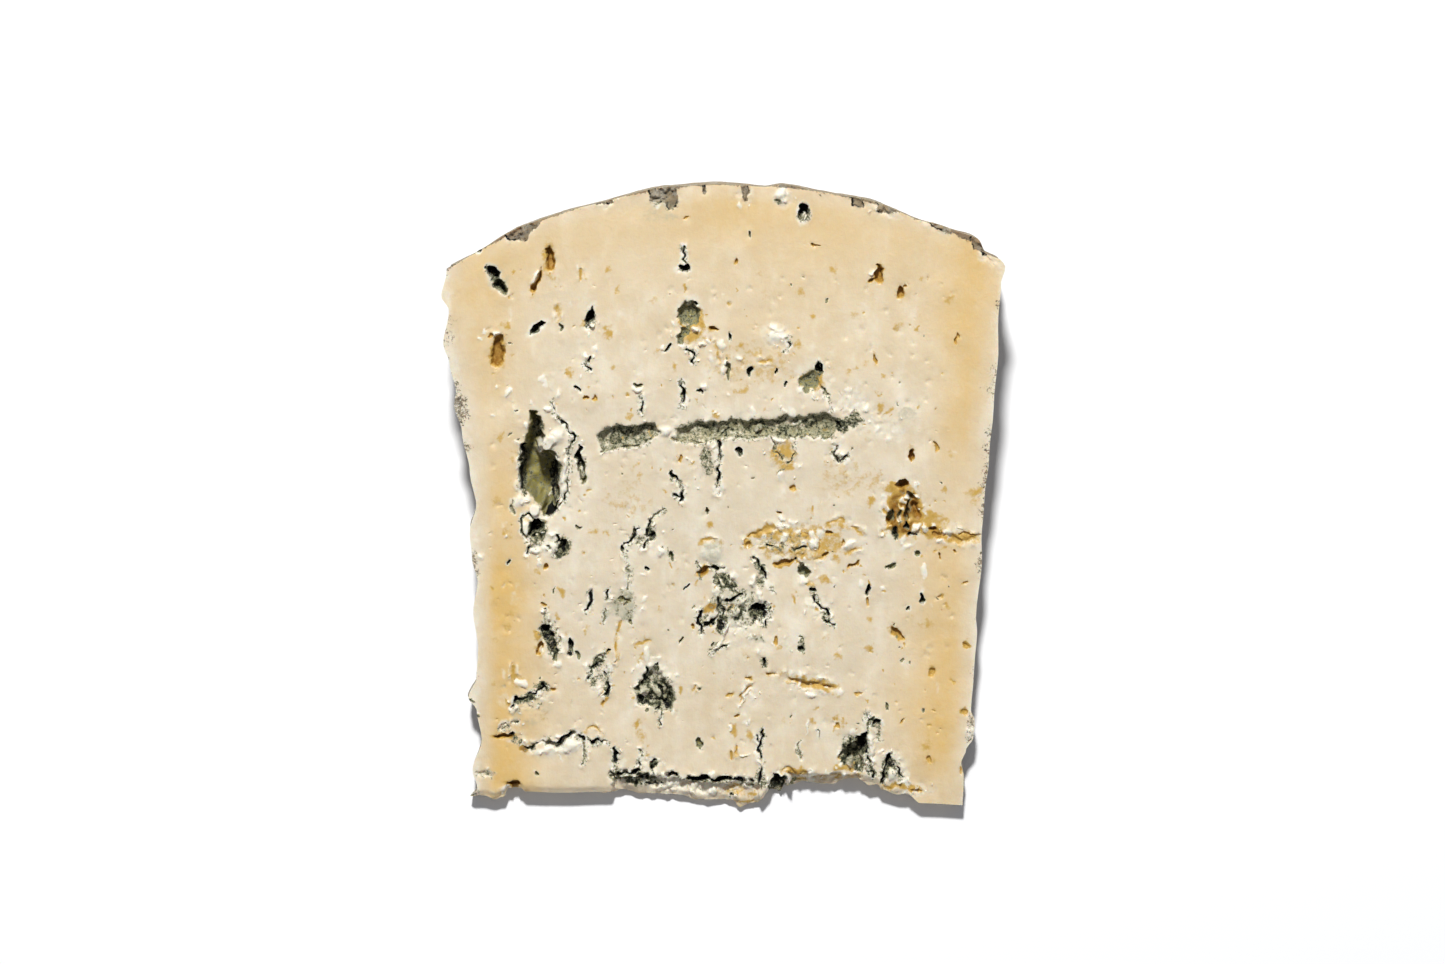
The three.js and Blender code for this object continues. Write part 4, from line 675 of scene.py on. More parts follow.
# Lines: least width, sharpness of the sides, and how whole they are, how specked and how beaded.
LINE_LEAST_WIDTH = 0.06
LINE_GAIN = 1.5
LINE_WHOLENESS = 0.8
LINE_DEPTH_SHARE = {"black": 1.0, "olive": 1.0, "amber": 0.5}
SPECK_SHARE = 0.4
BEAD_SHARE = 0.15
BEAD_HEIGHT = 0.2
BEAD_WHITENESS = 0.6
LIP_GAP = 0.15
LIP_WIDTH = 0.2

# Rings of corners and patches: how wide their edges are and how strongly their grain shows.
RING_MARGIN = 0.1
HOLLOW_LIP = 0.25
RIND_EDGE = 0.3
RIND_OUTLINE_INSET = 0.2
RIND_OUTLINE_WHOLENESS = 0.5
RIND_FOLD_DEPTH = 0.2
RIND_FOLD_EDGE = 0.4
PATCH_GAIN = 2.2
PATCH_FULLNESS = 1.05

# Crumbs: where they stop short of the rind and of the sides, how the large and small ones add up, and how
# mould, fallen crumbs and pale ones show among them.
CRUMB_FROM_RIND = 8
CRUMB_RIND_FADE = 14
CRUMB_SIDE_START = 3.4
CRUMB_SIDE_FADE = 10
ZONE_GAIN = 2
SMALL_CRUMB_SHARE = 0.45
LARGE_RELIEF = 0.75
SMALL_RELIEF = 0.3
CRUMB_WHITENESS = 0.55
LARGE_TOP, LEAST_LARGE, OWN_LARGE = 0.55, 0.35, 0.65
SMALL_TOP = 0.5
GREY_OF_SMEAR, GREY_OF_MOULD = 0.5, 1.2
SMALL_FILL = 0.7
MOULD_ON_BACKS = 0.7
MOULD_IN_CREVICES = 1.2
FALLEN_BELOW, FALLEN_GAIN = 0.42, 5
FALLEN_MOULD_GAIN = 1.6
FALLEN_DARKNESS = 0.75
PALE_ABOVE, PALE_GAIN = 0.62, 3
PALE_SMALL_SHARE = 0.3
PALE_CLEAN = 0.75

# Flakes of curd: shares where they are fully raised and fully white, how white, and how clean of stains.
CURD_TOP = 0.8
CURD_EDGE = 0.35
CURD_WHITENESS = 0.8
CURD_CLEAN = 0.75

# All spots of a face.
EVERYWHERE = slice(None)


class CutFace:
    """Relief and stains of one cut face, at given spots."""

    def __init__(self, x, r):
        self.x, self.r = ragged(x, r)
        self.depth = np.zeros(x.shape)
        self.stains = {name: np.zeros(x.shape) for name in STAINS}

    # The numbers and places of the spots close enough to some points to be touched by their mark.
    def spots_near(self, points, reach):
        xs, rs = [point[0] for point in points], [point[1] for point in points]
        close = (self.x > min(xs) - reach) & (self.x < max(xs) + reach)
        close &= (self.r > min(rs) - reach) & (self.r < max(rs) + reach)
        near = np.flatnonzero(close)
        return near, self.x[near], self.r[near]

    def deepen(self, near, depth):
        self.depth[near] = np.maximum(self.depth[near], depth)

    def stain(self, near, name, strength, share=1.0):
        self.stains[name][near] = np.maximum(self.stains[name][near], strength * share)

    # Jagged holes, with painted shade that is darkest towards the rind, under the lip away from the light,
    # and a faint halo.
    def holes(self, ovals, kind):
        for oval in map(Oval._make, ovals):
            near, x, r = self.spots_near([(oval.x, oval.r)], oval.length)
            share = oval_share(oval, x, r, grow=HOLE_SPREAD)
            share = np.where(share > 0, clamp01(share + unevenness(HOLE_JAGS, x, r)), 0.0)
            self.deepen(near, oval.amount * rise(share, HOLE_FLOOR))
            cover = rise(share, HOLE_LIP)
            # the dark weight paints shade under the rind-side lip; the ochre weight paints deep ochre holes
            # browner, as shade of their floors over their own ochre
            weights = {
                "dark": clamp01(HOLE_SHADE + HOLE_SHADE_SLOPE * (r - oval.r) / oval.length),
                "amber": clamp01(AMBER_SHALLOW + OCHRE_AND_SHADE_A_MM * oval.amount),
            }
            for name, strength in HOLE_STAINS[kind].items():
                self.stain(near, name, strength * cover * weights.get(name, 1.0))
            halo = ease(clamp01(HALO_GAIN * oval_share(oval, x, r, grow=HALO_SPREAD)))
            self.stain(near, *HALO_STAINS[kind], halo)

    # Cracks that swell, break off and gather specks, with beads of curd along their lips.
    def lines(self, lines, kind):
        for half_width, depth, corners in lines:
            near, x, r = self.spots_near(corners, 3 * half_width + LINE_HALO)
            gap = np.full(near.shape, np.inf)
            for a, b in zip(corners, corners[1:]):
                gap = np.minimum(gap, stretch_distance(a, b, x, r))
            swell = 1 + unevenness(LINE_SWELL, x, r)
            whole = clamp01(LINE_WHOLENESS + unevenness(LINE_BREAKS, x, r))
            core = ease(clamp01(LINE_GAIN * (1 - gap / (half_width * swell + LINE_LEAST_WIDTH))))
            self.deepen(near, depth * LINE_DEPTH_SHARE[kind] * core * whole)
            for name, strength in LINE_STAINS[kind].items():
                self.stain(near, name, strength * core * whole)
            halo = clamp01(1 - gap / (half_width + LINE_HALO))
            specks = clamp01(SPECK_SHARE + unevenness(LINE_SPECKS, x, r))
            self.stain(near, *HALO_STAINS[kind], ease(clamp01(HALO_GAIN * halo)))
            self.stain(near, *SPECK_STAINS[kind], halo * specks)
            beads = clamp01(BEAD_SHARE + unevenness(LINE_BEADS, x, r))
            from_lip = np.abs(gap - 2 * half_width - LIP_GAP)
            lip = ease(clamp01(1 - from_lip / (half_width + LIP_WIDTH))) * beads
            self.depth[near] -= BEAD_HEIGHT * lip
            self.stain(near, "curd", BEAD_WHITENESS * lip)

    # Broad hollows with uneven, mottled floors.
    def hollows(self, hollows):
        for depth, slope, stains, corners in hollows:
            near, x, r = self.spots_near(corners, RING_MARGIN)
            inside, edge = ring_depth(corners, x, r)
            share = np.where(inside, clamp01(edge / slope), 0.0)
            self.deepen(near, ease(share) * (depth + unevenness(FLOOR_BUMPS, x, r)))
            mottled = clamp01(1 + unevenness(PATCH_BLOTCH, x, r) + unevenness(PATCH_GRAIN, x, r))
            for name, strength in stains.items():
                self.stain(near, name, strength * rise(share, HOLLOW_LIP), mottled)

    # Dry grey rind inside each ring of corners, with a broken dark outline.
    def rind_patches(self, rings):
        for corners in rings:
            near, x, r = self.spots_near(corners, RING_MARGIN)
            inside, edge = ring_depth(corners, x, r)
            self.stain(near, "rind", np.where(inside, rise(edge, RIND_EDGE), 0.0))
            outline = inside * clamp01(1 - np.abs(edge - RIND_OUTLINE_INSET) / RIND_EDGE)
            outline = outline * clamp01(RIND_OUTLINE_WHOLENESS + unevenness(RIM_BREAKS, x, r))
            self.stain(near, "dark", outline)
            folds = np.where(inside, RIND_FOLD_DEPTH + unevenness(RIM_FOLDS, x, r), 0.0)
            self.depth[near] += folds * clamp01(edge / RIND_FOLD_EDGE)

    # Soft ovals of one stain, broken up where they are patchy. Mould is bumpy too.
    def patches(self, ovals, name, patchy, richness=1.0):
        for oval in map(Oval._make, ovals):
            near, x, r = self.spots_near([(oval.x, oval.r)], max(oval.length, oval.width))
            share = clamp01(PATCH_GAIN * oval_share(oval, x, r))
            grain = PATCH_FULLNESS + unevenness(PATCH_GRAIN, x, r) + unevenness(PATCH_BLOTCH, x, r)
            strength = richness * oval.amount * ease(clamp01(share * mix(1.0, grain, patchy)))
            self.stain(near, name, clamp01(strength))
            if name == "mould":
                self.depth[near] += oval.amount * share * unevenness(MOULD_BUMPS, x, r)

    # How crumbly each spot is: a little everywhere but near the rind and the sides, more in each zone.
    def crumbliness(self, zones):
        inland = rind_radius(self.x) - self.r - CRUMB_FROM_RIND
        rough = CRUMB_EVERYWHERE * rise(inland, CRUMB_RIND_FADE)
        rough = rough * ease(clamp01(CRUMB_SIDE_START - np.abs(self.x) / CRUMB_SIDE_FADE))
        for zone in map(Oval._make, zones):
            near, x, r = self.spots_near([(zone.x, zone.r)], max(zone.length, zone.width))
            share = ease(clamp01(ZONE_GAIN * oval_share(zone, x, r)))
            rough[near] = np.maximum(rough[near], zone.amount * share)
        return rough

    # Large and small crumbs. Mould creeps into the crevices between them, some have fallen out of mouldy
    # paste and left gaps painted dark, with dark mould and painted shade, and some are clean and pale.
    def crumble(self, zones):
        rough = self.crumbliness(zones)
        crumbly = clamp01(2 * rough)
        large, own = packed_crumbs(self.x, self.r, CRUMB_SIZE, 61)
        small, own_small = packed_crumbs(self.x, self.r, SMALL_CRUMB_SHARE * CRUMB_SIZE, 65)
        relief = LARGE_RELIEF * (LARGE_TOP - large * (LEAST_LARGE + OWN_LARGE * own))
        relief = relief + SMALL_RELIEF * (SMALL_TOP - small)
        self.depth += CRUMB_HEIGHT * rough * relief * (1 + self.stains["mould"])
        self.stain(EVERYWHERE, "curd", CRUMB_WHITENESS, rough)

        grey = clamp01(GREY_OF_SMEAR * self.stains["smear"] + GREY_OF_MOULD * self.stains["mould"])
        crevice = 1 - np.minimum(large, SMALL_FILL + small)
        self.stains["mould"] *= mix(1.0, MOULD_ON_BACKS, large * crumbly)
        self.stain(EVERYWHERE, "mould", MOULD_IN_CREVICES * crevice * grey * crumbly)

        fallen = ease(clamp01(FALLEN_GAIN * (FALLEN_BELOW - own))) * large
        fallen = fallen * clamp01(FALLEN_MOULD_GAIN * self.stains["mould"]) * crumbly
        self.depth += CRUMB_GAP_DEPTH * fallen
        # the gaps are painted dark: dark mould with painted shade
        self.stain(EVERYWHERE, "dark", FALLEN_DARKNESS * fallen)

        pale = ease(clamp01(PALE_GAIN * (own - PALE_ABOVE))) * large
        pale_small = PALE_SMALL_SHARE * ease(clamp01(PALE_GAIN * (own_small - PALE_ABOVE))) * small
        pale = clamp01(pale + pale_small) * crumbly
        self.stains["mould"] *= 1 - PALE_CLEAN * pale
        self.stain(EVERYWHERE, "curd", CRUMB_WHITENESS * pale)

    # Raised flakes of clean pale curd with faceted tops.
    def curds(self, ovals):
        for oval in map(Oval._make, ovals):
            near, x, r = self.spots_near([(oval.x, oval.r)], oval.length)
            share = oval_share(oval, x, r) * (1 + unevenness(CURD_FACETS, x, r))
            raised = self.depth[near] - oval.amount * rise(share, CURD_TOP)
            self.depth[near] = np.maximum(raised, -HIGHEST_LUMP)
            cover = rise(share, CURD_EDGE)
            self.stain(near, "curd", CURD_WHITENESS * cover)
            for name in ("mould", "dark", "olive", "amber"):
                self.stains[name][near] *= 1 - CURD_CLEAN * cover


# Crumbs packed side by side: 0 in the crevices between them, 1 on their backs, and a random share of
# each crumb's own. They are longer towards the rind than across.
CRUMB_STRETCH = 1.5
CREVICE_GAIN = 2.2


def packed_crumbs(x, r, size, layer):
    a, b = x / size, r / (CRUMB_STRETCH * size)
    i, j = np.floor(a).astype(np.int64), np.floor(b).astype(np.int64)
    nearest = np.full(x.shape, np.inf)
    second = np.full(x.shape, np.inf)
    own = np.zeros(x.shape)
    for beside in (-1, 0, 1):
        for above in (-1, 0, 1):
            corner_i, corner_j = i + beside, j + above
            middle_a = corner_i + lattice_value(corner_i, corner_j, layer)
            middle_b = corner_j + lattice_value(corner_i, corner_j, layer + 1)
            gap = np.hypot(a - middle_a, b - middle_b)
            closer = gap < nearest
            second = np.where(closer, nearest, np.minimum(second, gap))
            own = np.where(closer, lattice_value(corner_i, corner_j, layer + 2), own)
            nearest = np.minimum(nearest, gap)
    return ease(clamp01(CREVICE_GAIN * (second - nearest))), own


# Where the paste has ripened to yellow: a band along each flat face and along the rind of the wheel. Each is
# strongest at its peak distance from the edge and fades faster outwards than inwards. The two side bands
# are stronger below the channel, the right one fades at the tip and has a pale dip, and the rind band is
# weaker off the middle. The paste is faintly yellow above the channel and near the tip too.
Band = namedtuple("Band", "peak outward inward")
LEFT_BAND = Band(3.6, 1.9, 5.6)
RIND_BAND = Band(2.6, 1.6, 7.0)
RIGHT_BAND_NEAR_RIND = Band(3.6, 2.2, 5.0)
RIGHT_BAND_INWARD_LOW = 6.5
LOW_STARTS, LOW_FADE = 75, 35
TIP_STARTS, TIP_FADE = 14, 14
RIGHT_DIP, DIP_RADIUS, DIP_WIDTH = 0.6, 61, 8
LEFT_STRENGTH = (0.44, 1.0)
RIGHT_STRENGTH = (0.68, 0.78)
RIGHT_TIP_STRENGTH = (0.35, 1.0)
RIND_STRENGTH, RIND_MIDDLE = (0.5, 0.34), 16
UPPER_STRENGTH, UPPER_STARTS, UPPER_FADE = (0.14, 0.24), 74, 16
LOWER_STRENGTH, LOWER_STARTS, LOWER_FADE = 0.1, 42, 14
RIPE_DRIFT = (Bumps(0.16, 8, 41), Bumps(0.07, 2.2, 42))
DRIFT_EVERYWHERE = 0.12
RIPE_EVERYWHERE = 0.03


def band(distance, shape):
    width = np.where(distance < shape.peak, shape.outward, shape.inward)
    return np.exp(-(((distance - shape.peak) / width) ** 2))


def ripeness(x, r):
    low = rise(LOW_STARTS - r, LOW_FADE)
    off_tip = rise(r - TIP_STARTS, TIP_FADE)
    left = band(x - left_face(r), LEFT_BAND) * mix(*LEFT_STRENGTH, low)
    inward = mix(RIGHT_BAND_NEAR_RIND.inward, RIGHT_BAND_INWARD_LOW, low)
    right = band(right_face(r) - x, RIGHT_BAND_NEAR_RIND._replace(inward=inward))
    right = right * mix(*RIGHT_STRENGTH, low) * mix(*RIGHT_TIP_STRENGTH, off_tip)
    right *= 1 - RIGHT_DIP * np.exp(-(((r - DIP_RADIUS) / DIP_WIDTH) ** 2))
    off_middle = clamp01(np.abs(x) / RIND_MIDDLE)
    rind = band(rind_radius(x) - r, RIND_BAND) * mix(*RIND_STRENGTH, off_middle)
    faint = mix(*UPPER_STRENGTH, clamp01((x + 20) / 20)) * rise(r - UPPER_STARTS, UPPER_FADE)
    faint += LOWER_STRENGTH * rise(LOWER_STARTS - r, LOWER_FADE)
    drift = sum(unevenness(bumps, x, r) for bumps in RIPE_DRIFT)
    ripe = 1 - (1 - left) * (1 - right) * (1 - rind) * (1 - faint)
    return clamp01(ripe * (1 + drift) + DRIFT_EVERYWHERE * drift + RIPE_EVERYWHERE)


# The dry rind that shows as a thin line along the very edge of a cut face, in patches along its sides.
RIND_LINE_WANDER = Bumps(0.7, 1.7, 43)
RIND_LINE_PATCHES = Bumps(1.2, 2.4, 44)
RIND_LINE_WIDTH = 0.2
SIDE_LINE_WIDTH = 0.3
LEAST_LINE_WIDTH = 0.05
SIDE_LINE_INSET = 0.1
SIDE_LINE_STRENGTH = 0.6
SIDE_LINE_SHARE = 0.1


def rind_line(x, r):
    wander = 1 + unevenness(RIND_LINE_WANDER, x, r)
    from_rind = rind_radius(x) + RIND_BULGE - r
    rind = ease(clamp01(1 - from_rind / (RIND_LINE_WIDTH * wander + LEAST_LINE_WIDTH)))
    inset = from_sides(x, r) - SIDE_LINE_INSET
    side = ease(clamp01(1 - inset / (SIDE_LINE_WIDTH * wander + LEAST_LINE_WIDTH)))
    patchy = clamp01(SIDE_LINE_SHARE + unevenness(RIND_LINE_PATCHES, x, r))
    return np.maximum(rind, SIDE_LINE_STRENGTH * side * patchy)


# Distance of a spot from the nearer of the two flat faces of the wheel.
def from_sides(x, r):
    return np.minimum(x - left_face(r), right_face(r) - x)


# The upper cut face with all the marks that show on it, from broad to fine.
def upper_face(x, r):
    face = CutFace(x, r)
    face.hollows(HOLLOWS)
    face.patches(SMEARS, "smear", 0.5, richness=1.4)
    face.patches(AMBER_STAINS, "amber", 0.8, richness=1.7)
    face.patches(MOULD_PATCHES, "mould", 1.0, richness=1.45)
    face.rind_patches(RIM_PATCHES)
    face.crumble(CRUMBLY)
    face.holes(OLIVE_HOLES, "olive")
    face.holes(AMBER_HOLES, "amber")
    face.holes(BLACK_HOLES, "black")
    face.lines(OLIVE_LINES, "olive")
    face.lines(AMBER_LINES, "amber")
    face.lines(BLACK_LINES, "black")
    scatter_small_marks(face, seed=3)
    face.curds(CURDS)
    face.curds(loose_crumbs(CRUMBLY, seed=17))
    return face


# The lower cut face, hidden on the table: the same cheese, so the same kinds of marks, scattered.
HIDDEN_HOLES = {"black": 26, "olive": 18, "amber": 34}
HIDDEN_CRACKS = 16


def lower_face(x, r):
    face = CutFace(x, r)
    random = np.random.default_rng(8)
    ovals = {
        kind: random_ovals(random, count, (0.8, 3.0), (0.35, 0.7), (30, 150), (0.4, 1.2))
        for kind, count in HIDDEN_HOLES.items()
    }
    patches = [
        Oval(oval.x, oval.r, 1.9 * oval.length, 2.4 * oval.width, oval.turn, random.uniform(0.4, 0.9))
        for oval in ovals["black"]
    ]
    cracks = [
        (random.uniform(0.14, 0.3), random.uniform(0.5, 1.2), random_walk(random))
        for _ in range(HIDDEN_CRACKS)
    ]
    face.patches(patches, "mould", 1.0)
    for kind, marks in ovals.items():
        face.holes(marks, kind)
    face.lines(cracks, "black")
    scatter_small_marks(face, seed=5)
    return face


# Ovals at random spots: ranges of their length, width as a share of it, turn and amount.
def random_ovals(random, count, lengths, widths, turns, amounts):
    ovals = []
    for _ in range(count):
        length = random.uniform(*lengths)
        spot = random_spot(random)
        width = length * random.uniform(*widths)
        turn = random.uniform(*turns)
        ovals.append(Oval(*spot, length, width, turn, random.uniform(*amounts)))
    return ovals


def random_spot(random):
    return random.uniform(-34, 34), random.uniform(24, 96)


# A crack that wanders a few millimetres.
CRACK_STEP = 1.4
CRACK_TURN = 0.9


def random_walk(random):
    x, r = random_spot(random)
    heading = random.uniform(0, math.tau)
    corners = [(x, r)]
    for _ in range(random.integers(2, 6)):
        heading += random.uniform(-CRACK_TURN, CRACK_TURN)
        x += CRACK_STEP * math.cos(heading)
        r += CRACK_STEP * math.sin(heading)
        corners.append((x, r))
    return corners


# White crumbs lying loose on the crumbly parts.
LEAST_CRUMB, CRUMB_RANGE = 0.4, 1.4
CRUMB_REACH = 0.8


def loose_crumbs(zones, seed):
    random = np.random.default_rng(seed)
    crumbs = []
    for zone in map(Oval._make, zones):
        for _ in range(int(zone.length * zone.width * zone.amount * CRUMBS_A_SQUARE_MM)):
            swing, out = random.uniform(0, math.tau), 0.5 * math.sqrt(random.uniform(0, CRUMB_REACH))
            turn = math.radians(zone.turn)
            lengthwise, sideways = zone.length * out * math.cos(swing), zone.width * out * math.sin(swing)
            x = zone.x + lengthwise * math.cos(turn) - sideways * math.sin(turn)
            r = zone.r + lengthwise * math.sin(turn) + sideways * math.cos(turn)
            length = LEAST_CRUMB + CRUMB_RANGE * random.uniform(0, 1) ** 2
            width = length * random.uniform(0.5, 0.9)
            crumbs.append(Oval(x, r, length, width, random.uniform(20, 160), random.uniform(0.1, 0.3)))
    return crumbs


# Pinholes, ochre flecks and pale curd grains too small to be placed one by one. Flecks are given by kind,
# count, greatest length and depth.
FLECKS = [("amber", 130, 0.55, 0.15), ("olive", 60, 0.5, 0.2), ("dimple", 300, 1.1, 0.14)]
RIPE_SPOTS = 210
CURD_GRAINS = 150


def scatter_small_marks(face, seed):
    random = np.random.default_rng(seed)
    for kind, count, longest, depth in FLECKS:
        flecks = []
        for _ in range(count):
            length = random.uniform(0.2, longest)
            spot = random_spot(random)
            width = length * random.uniform(0.4, 1.0)
            flecks.append(Oval(*spot, length, width, random.uniform(0, 180), depth))
        face.holes(flecks, kind)
    ripe_spots = random_ovals(random, RIPE_SPOTS, (0.6, 2.6), (0.3, 0.8), (30, 150), (0.2, 0.6))
    face.patches(ripe_spots, "amber", 1.0)
    grains = random_ovals(random, CURD_GRAINS, (0.8, 3.6), (0.25, 0.6), (60, 120), (0.15, 0.5))
    face.patches(grains, "curd", 0.6)


# A point of the wedge: the spot (x, r) turned about the axis of the wheel to an angle above the table.
def wedge_point(x, r, angle):
    return np.stack([x, r * np.cos(angle), r * np.sin(angle)], axis=-1)


# The whole skin as one square sheet of points with their stains: cut face, walls, then the underside,
# drawn together to one point under the middle.
def wrapped_sheet():
    step = np.arange(SHEET_STEPS + 1) - HALF_STEPS
    a, b = np.meshgrid(step / FACE_STEPS, step / FACE_STEPS)
    a, b = a.ravel(), b.ravel()
    reach = np.maximum(np.abs(a), np.abs(b))
    beyond = np.maximum(reach, 1.0)
    across, up = a / beyond, b / beyond
    steps_out = (beyond - 1) * FACE_STEPS
    drop = clamp01(steps_out / WALL_STEPS)
    tuck = clamp01((steps_out - WALL_STEPS) / UNDER_STEPS)
    across, up = across * (1 - tuck), up * (1 - tuck)
    x, r = face_spot((across + 1) / 2, (up + 1) / 2)

    points = wedge_point(x, r, WEDGE_ANGLE * (1 - drop))
    stains = {name: np.zeros(x.shape) for name in STAINS}
    press_face(points, stains, x, r, drop)
    push_walls(points, stains, x, r, across, up, drop, tuck)
    tuck_underside(points, stains, x, r, tuck)
    return points, stains


# Presses the relief of the upper cut face in. It carries on down the walls, as far as suits its own depth.
PALE_SIDE_WIDTH = 1.2
PALE_SIDE_STRENGTH = 0.5


def press_face(points, stains, x, r, drop):
    on_top = np.flatnonzero(drop < 1)
    x, r, drop = x[on_top], r[on_top], drop[on_top]
    face = upper_face(x, r)
    depth = np.minimum(face.depth, DEEPEST_SHARE * r * math.sin(WEDGE_ANGLE))
    for bumps in (CUT_SWELL, CUT_CRUMB, CUT_GRAIN):
        depth += unevenness(bumps, x, r)
    past_tip = clamp01((TIP_DROOP_REACH + along(TIP_OUTLINE, x) - r) / TIP_DROOP_REACH)
    depth += TIP_DROOP * ease(past_tip) * clamp01((TIP_DROOP_END_X - x) / 2)
    reach = np.clip(WALL_FADE * depth / (r * WEDGE_ANGLE), SHORTEST_WALL_FADE, 1.0)
    fade = clamp01(1 - drop / reach)
    inward = np.array([0.0, math.sin(WEDGE_ANGLE), -math.cos(WEDGE_ANGLE)])
    points[on_top] += (depth * fade)[:, None] * inward

    face.stains["ripe"] = ripeness(x, r)
    face.stain(EVERYWHERE, "rind", rind_line(x, r))
    pale_side = ease(clamp01(1 - from_sides(x, r) / PALE_SIDE_WIDTH))
    face.stain(EVERYWHERE, "curd", PALE_SIDE_STRENGTH * pale_side)
    for name in STAINS:
        stains[name][on_top] += face.stains[name] * fade


# Roughens the walls: natural rind on three sides, broken paste at the tip, with mould in the rind's creases.
MOULD_VEINS = (Bumps(1, 2.3, 51), Bumps(1, 0.7, 52))
VEIN_GAIN = 2.2
VEIN_START = 0.3
VEIN_STRENGTH = 0.8
RIND_STARTS = 40
SIDE_RIND_STARTS = 7
RIPE_WALLS = 0.25
LEAN_CURVE = 0.7


def push_walls(points, stains, x, r, across, up, drop, tuck):
    wall = np.flatnonzero((drop > 0) & (tuck < WALL_TURN))
    x, r, across, up, drop, tuck = (values[wall] for values in (x, r, across, up, drop, tuck))
    out_x = np.sign(across) * np.abs(across) ** CORNER_SHARPNESS
    out_r = np.sign(up) * np.abs(up) ** CORNER_SHARPNESS
    height = r * WEDGE_ANGLE * (1 - drop)
    side_share = np.abs(out_x) / (np.abs(out_x) + np.abs(out_r))
    is_tip = up < 0
    push = np.zeros(wall.shape)
    for rind, side, tip in ((RIND_BUMP, SIDE_BUMP, TIP_CRAG), (RIND_GRAIN, RIND_GRAIN, TIP_GRAIN)):
        end_push = np.where(is_tip, unevenness(tip, x - r, height), unevenness(rind, x - r, height))
        push += mix(end_push, unevenness(side, r + x, height), side_share)
    growth = ease(clamp01(BUMP_GROWTH * drop)) * mix(1, BUMP_AT_TABLE, drop)
    push *= growth * ease(clamp01(1 - tuck / WALL_TURN))
    push -= mix(np.where(is_tip, 0.0, 1.0), SIDE_LEAN_SHARE, side_share) * RIND_LEAN * drop**LEAN_CURVE
    points[wall, 0] += out_x * push
    points[wall, 1] += out_r * push

    lengthwise = mix(x - r, r + x, np.round(side_share))
    veins = unevenness(MOULD_VEINS[0], lengthwise, height) * unevenness(MOULD_VEINS[1], lengthwise, height)
    grown = VEIN_STRENGTH * clamp01(VEIN_GAIN * veins - VEIN_START) * drop
    end_crust = np.where(is_tip, 0.0, clamp01(RIND_STARTS * drop))
    crust = mix(end_crust, ease(clamp01(SIDE_RIND_STARTS * drop)), side_share)
    for name, strength in (("rind", crust), ("mould", grown), ("ripe", RIPE_WALLS)):
        stains[name][wall] = np.maximum(stains[name][wall], strength)


# Finishes the flat underside with shallow marks that leave it standing flat.
DEEPEST_UNDER = 0.3
UNDER_RELIEF_GROWTH = 30
UNDER_STAIN_GROWTH = 40


def tuck_underside(points, stains, x, r, tuck):
    under = np.flatnonzero(tuck > 0)
    x, r, tuck = x[under], r[under], tuck[under]
    face = lower_face(x, r)
    face.stains["ripe"] = ripeness(x, r)
    height = np.minimum(np.maximum(face.depth, 0), DEEPEST_UNDER * r * WEDGE_ANGLE)
    points[under, 2] = height * ease(clamp01(tuck * UNDER_RELIEF_GROWTH))
    cover = ease(clamp01(tuck * UNDER_STAIN_GROWTH))
    for name in STAINS:
        stains[name][under] = mix(stains[name][under], face.stains[name], cover)


# Right-angled triangles of the sheet, halved again and again where the skin bends or its colour changes.
# Points are numbered row by row, so the middle of two points has their mean number.
def thinned_triangles(points, marks):
    side = SHEET_STEPS + 1
    step = np.abs(np.arange(side) - HALF_STEPS)
    hidden = np.maximum(step[:, None], step[None, :]).ravel() > FACE_STEPS + WALL_STEPS
    allowed = np.where(hidden, HIDDEN_TOLERANCE, 1.0)
    a, b, c = np.array([[0, side * side - 1], [side * side - 1, 0], [side - 1, side * (side - 1)]])
    levels = []
    for _ in range(2 * int(math.log2(SHEET_STEPS))):
        levels.append((a, b, c, (a + b) // 2))
        a, b, c = halves(*levels[-1])

    misfit = np.zeros(side * side)
    for level, (a, b, c, middle) in reversed(list(enumerate(levels))):
        worst = np.maximum(skin_misfit(points, a, b, middle), mark_misfit(marks, a, b, middle))
        worst /= allowed[middle]
        if level + 1 < len(levels):
            worst = np.maximum(worst, np.maximum(misfit[(a + c) // 2], misfit[(b + c) // 2]))
        np.maximum.at(misfit, middle, worst)

    # each point that is split at adds two triangles
    limit = max(1.0, np.sort(misfit)[-MOST_TRIANGLES // 2])
    kept = []
    a, b, c = levels[0][:3]
    for _ in levels:
        middle = (a + b) // 2
        split = misfit[middle] > limit
        kept.append(np.stack([a, c, b], axis=-1)[~split])
        a, b, c = halves(a[split], b[split], c[split], middle[split])
    kept.append(np.stack([a, c, b], axis=-1))
    return np.concatenate(kept)


# The two halves of each triangle, cut at the middle of its long side a-b.
def halves(a, b, c, middle):
    return np.concatenate([c, b]), np.concatenate([a, c]), np.concatenate([middle, middle])


# How far the true middle of each edge lies from the edge, as a share of what is allowed.
NO_LENGTH = 1e-12


def skin_misfit(points, a, b, middle):
    start, chord, target = points[a], points[b] - points[a], points[middle] - points[a]
    length = np.maximum((chord * chord).sum(axis=-1), NO_LENGTH)
    share = clamp01((target * chord).sum(axis=-1) / length)
    return np.linalg.norm(target - chord * share[:, None], axis=-1) / SKIN_TOLERANCE


# How far the marks at the middle of each edge are from the mean of its ends, as a share of what is allowed.
def mark_misfit(marks, a, b, middle):
    worst = np.zeros(len(a))
    for mark in marks:
        worst = np.maximum(worst, np.abs(mark[middle] - 0.5 * (mark[a] + mark[b])))
    return worst / MARK_TOLERANCE


# The cheese as one mesh that stands where the CAD solid stands, with its stains kept on its points. The
# stains with sharp edges need the smallest triangles.
SHARP_STAINS = ("mould", "dark", "amber", "olive", "curd", "rind")


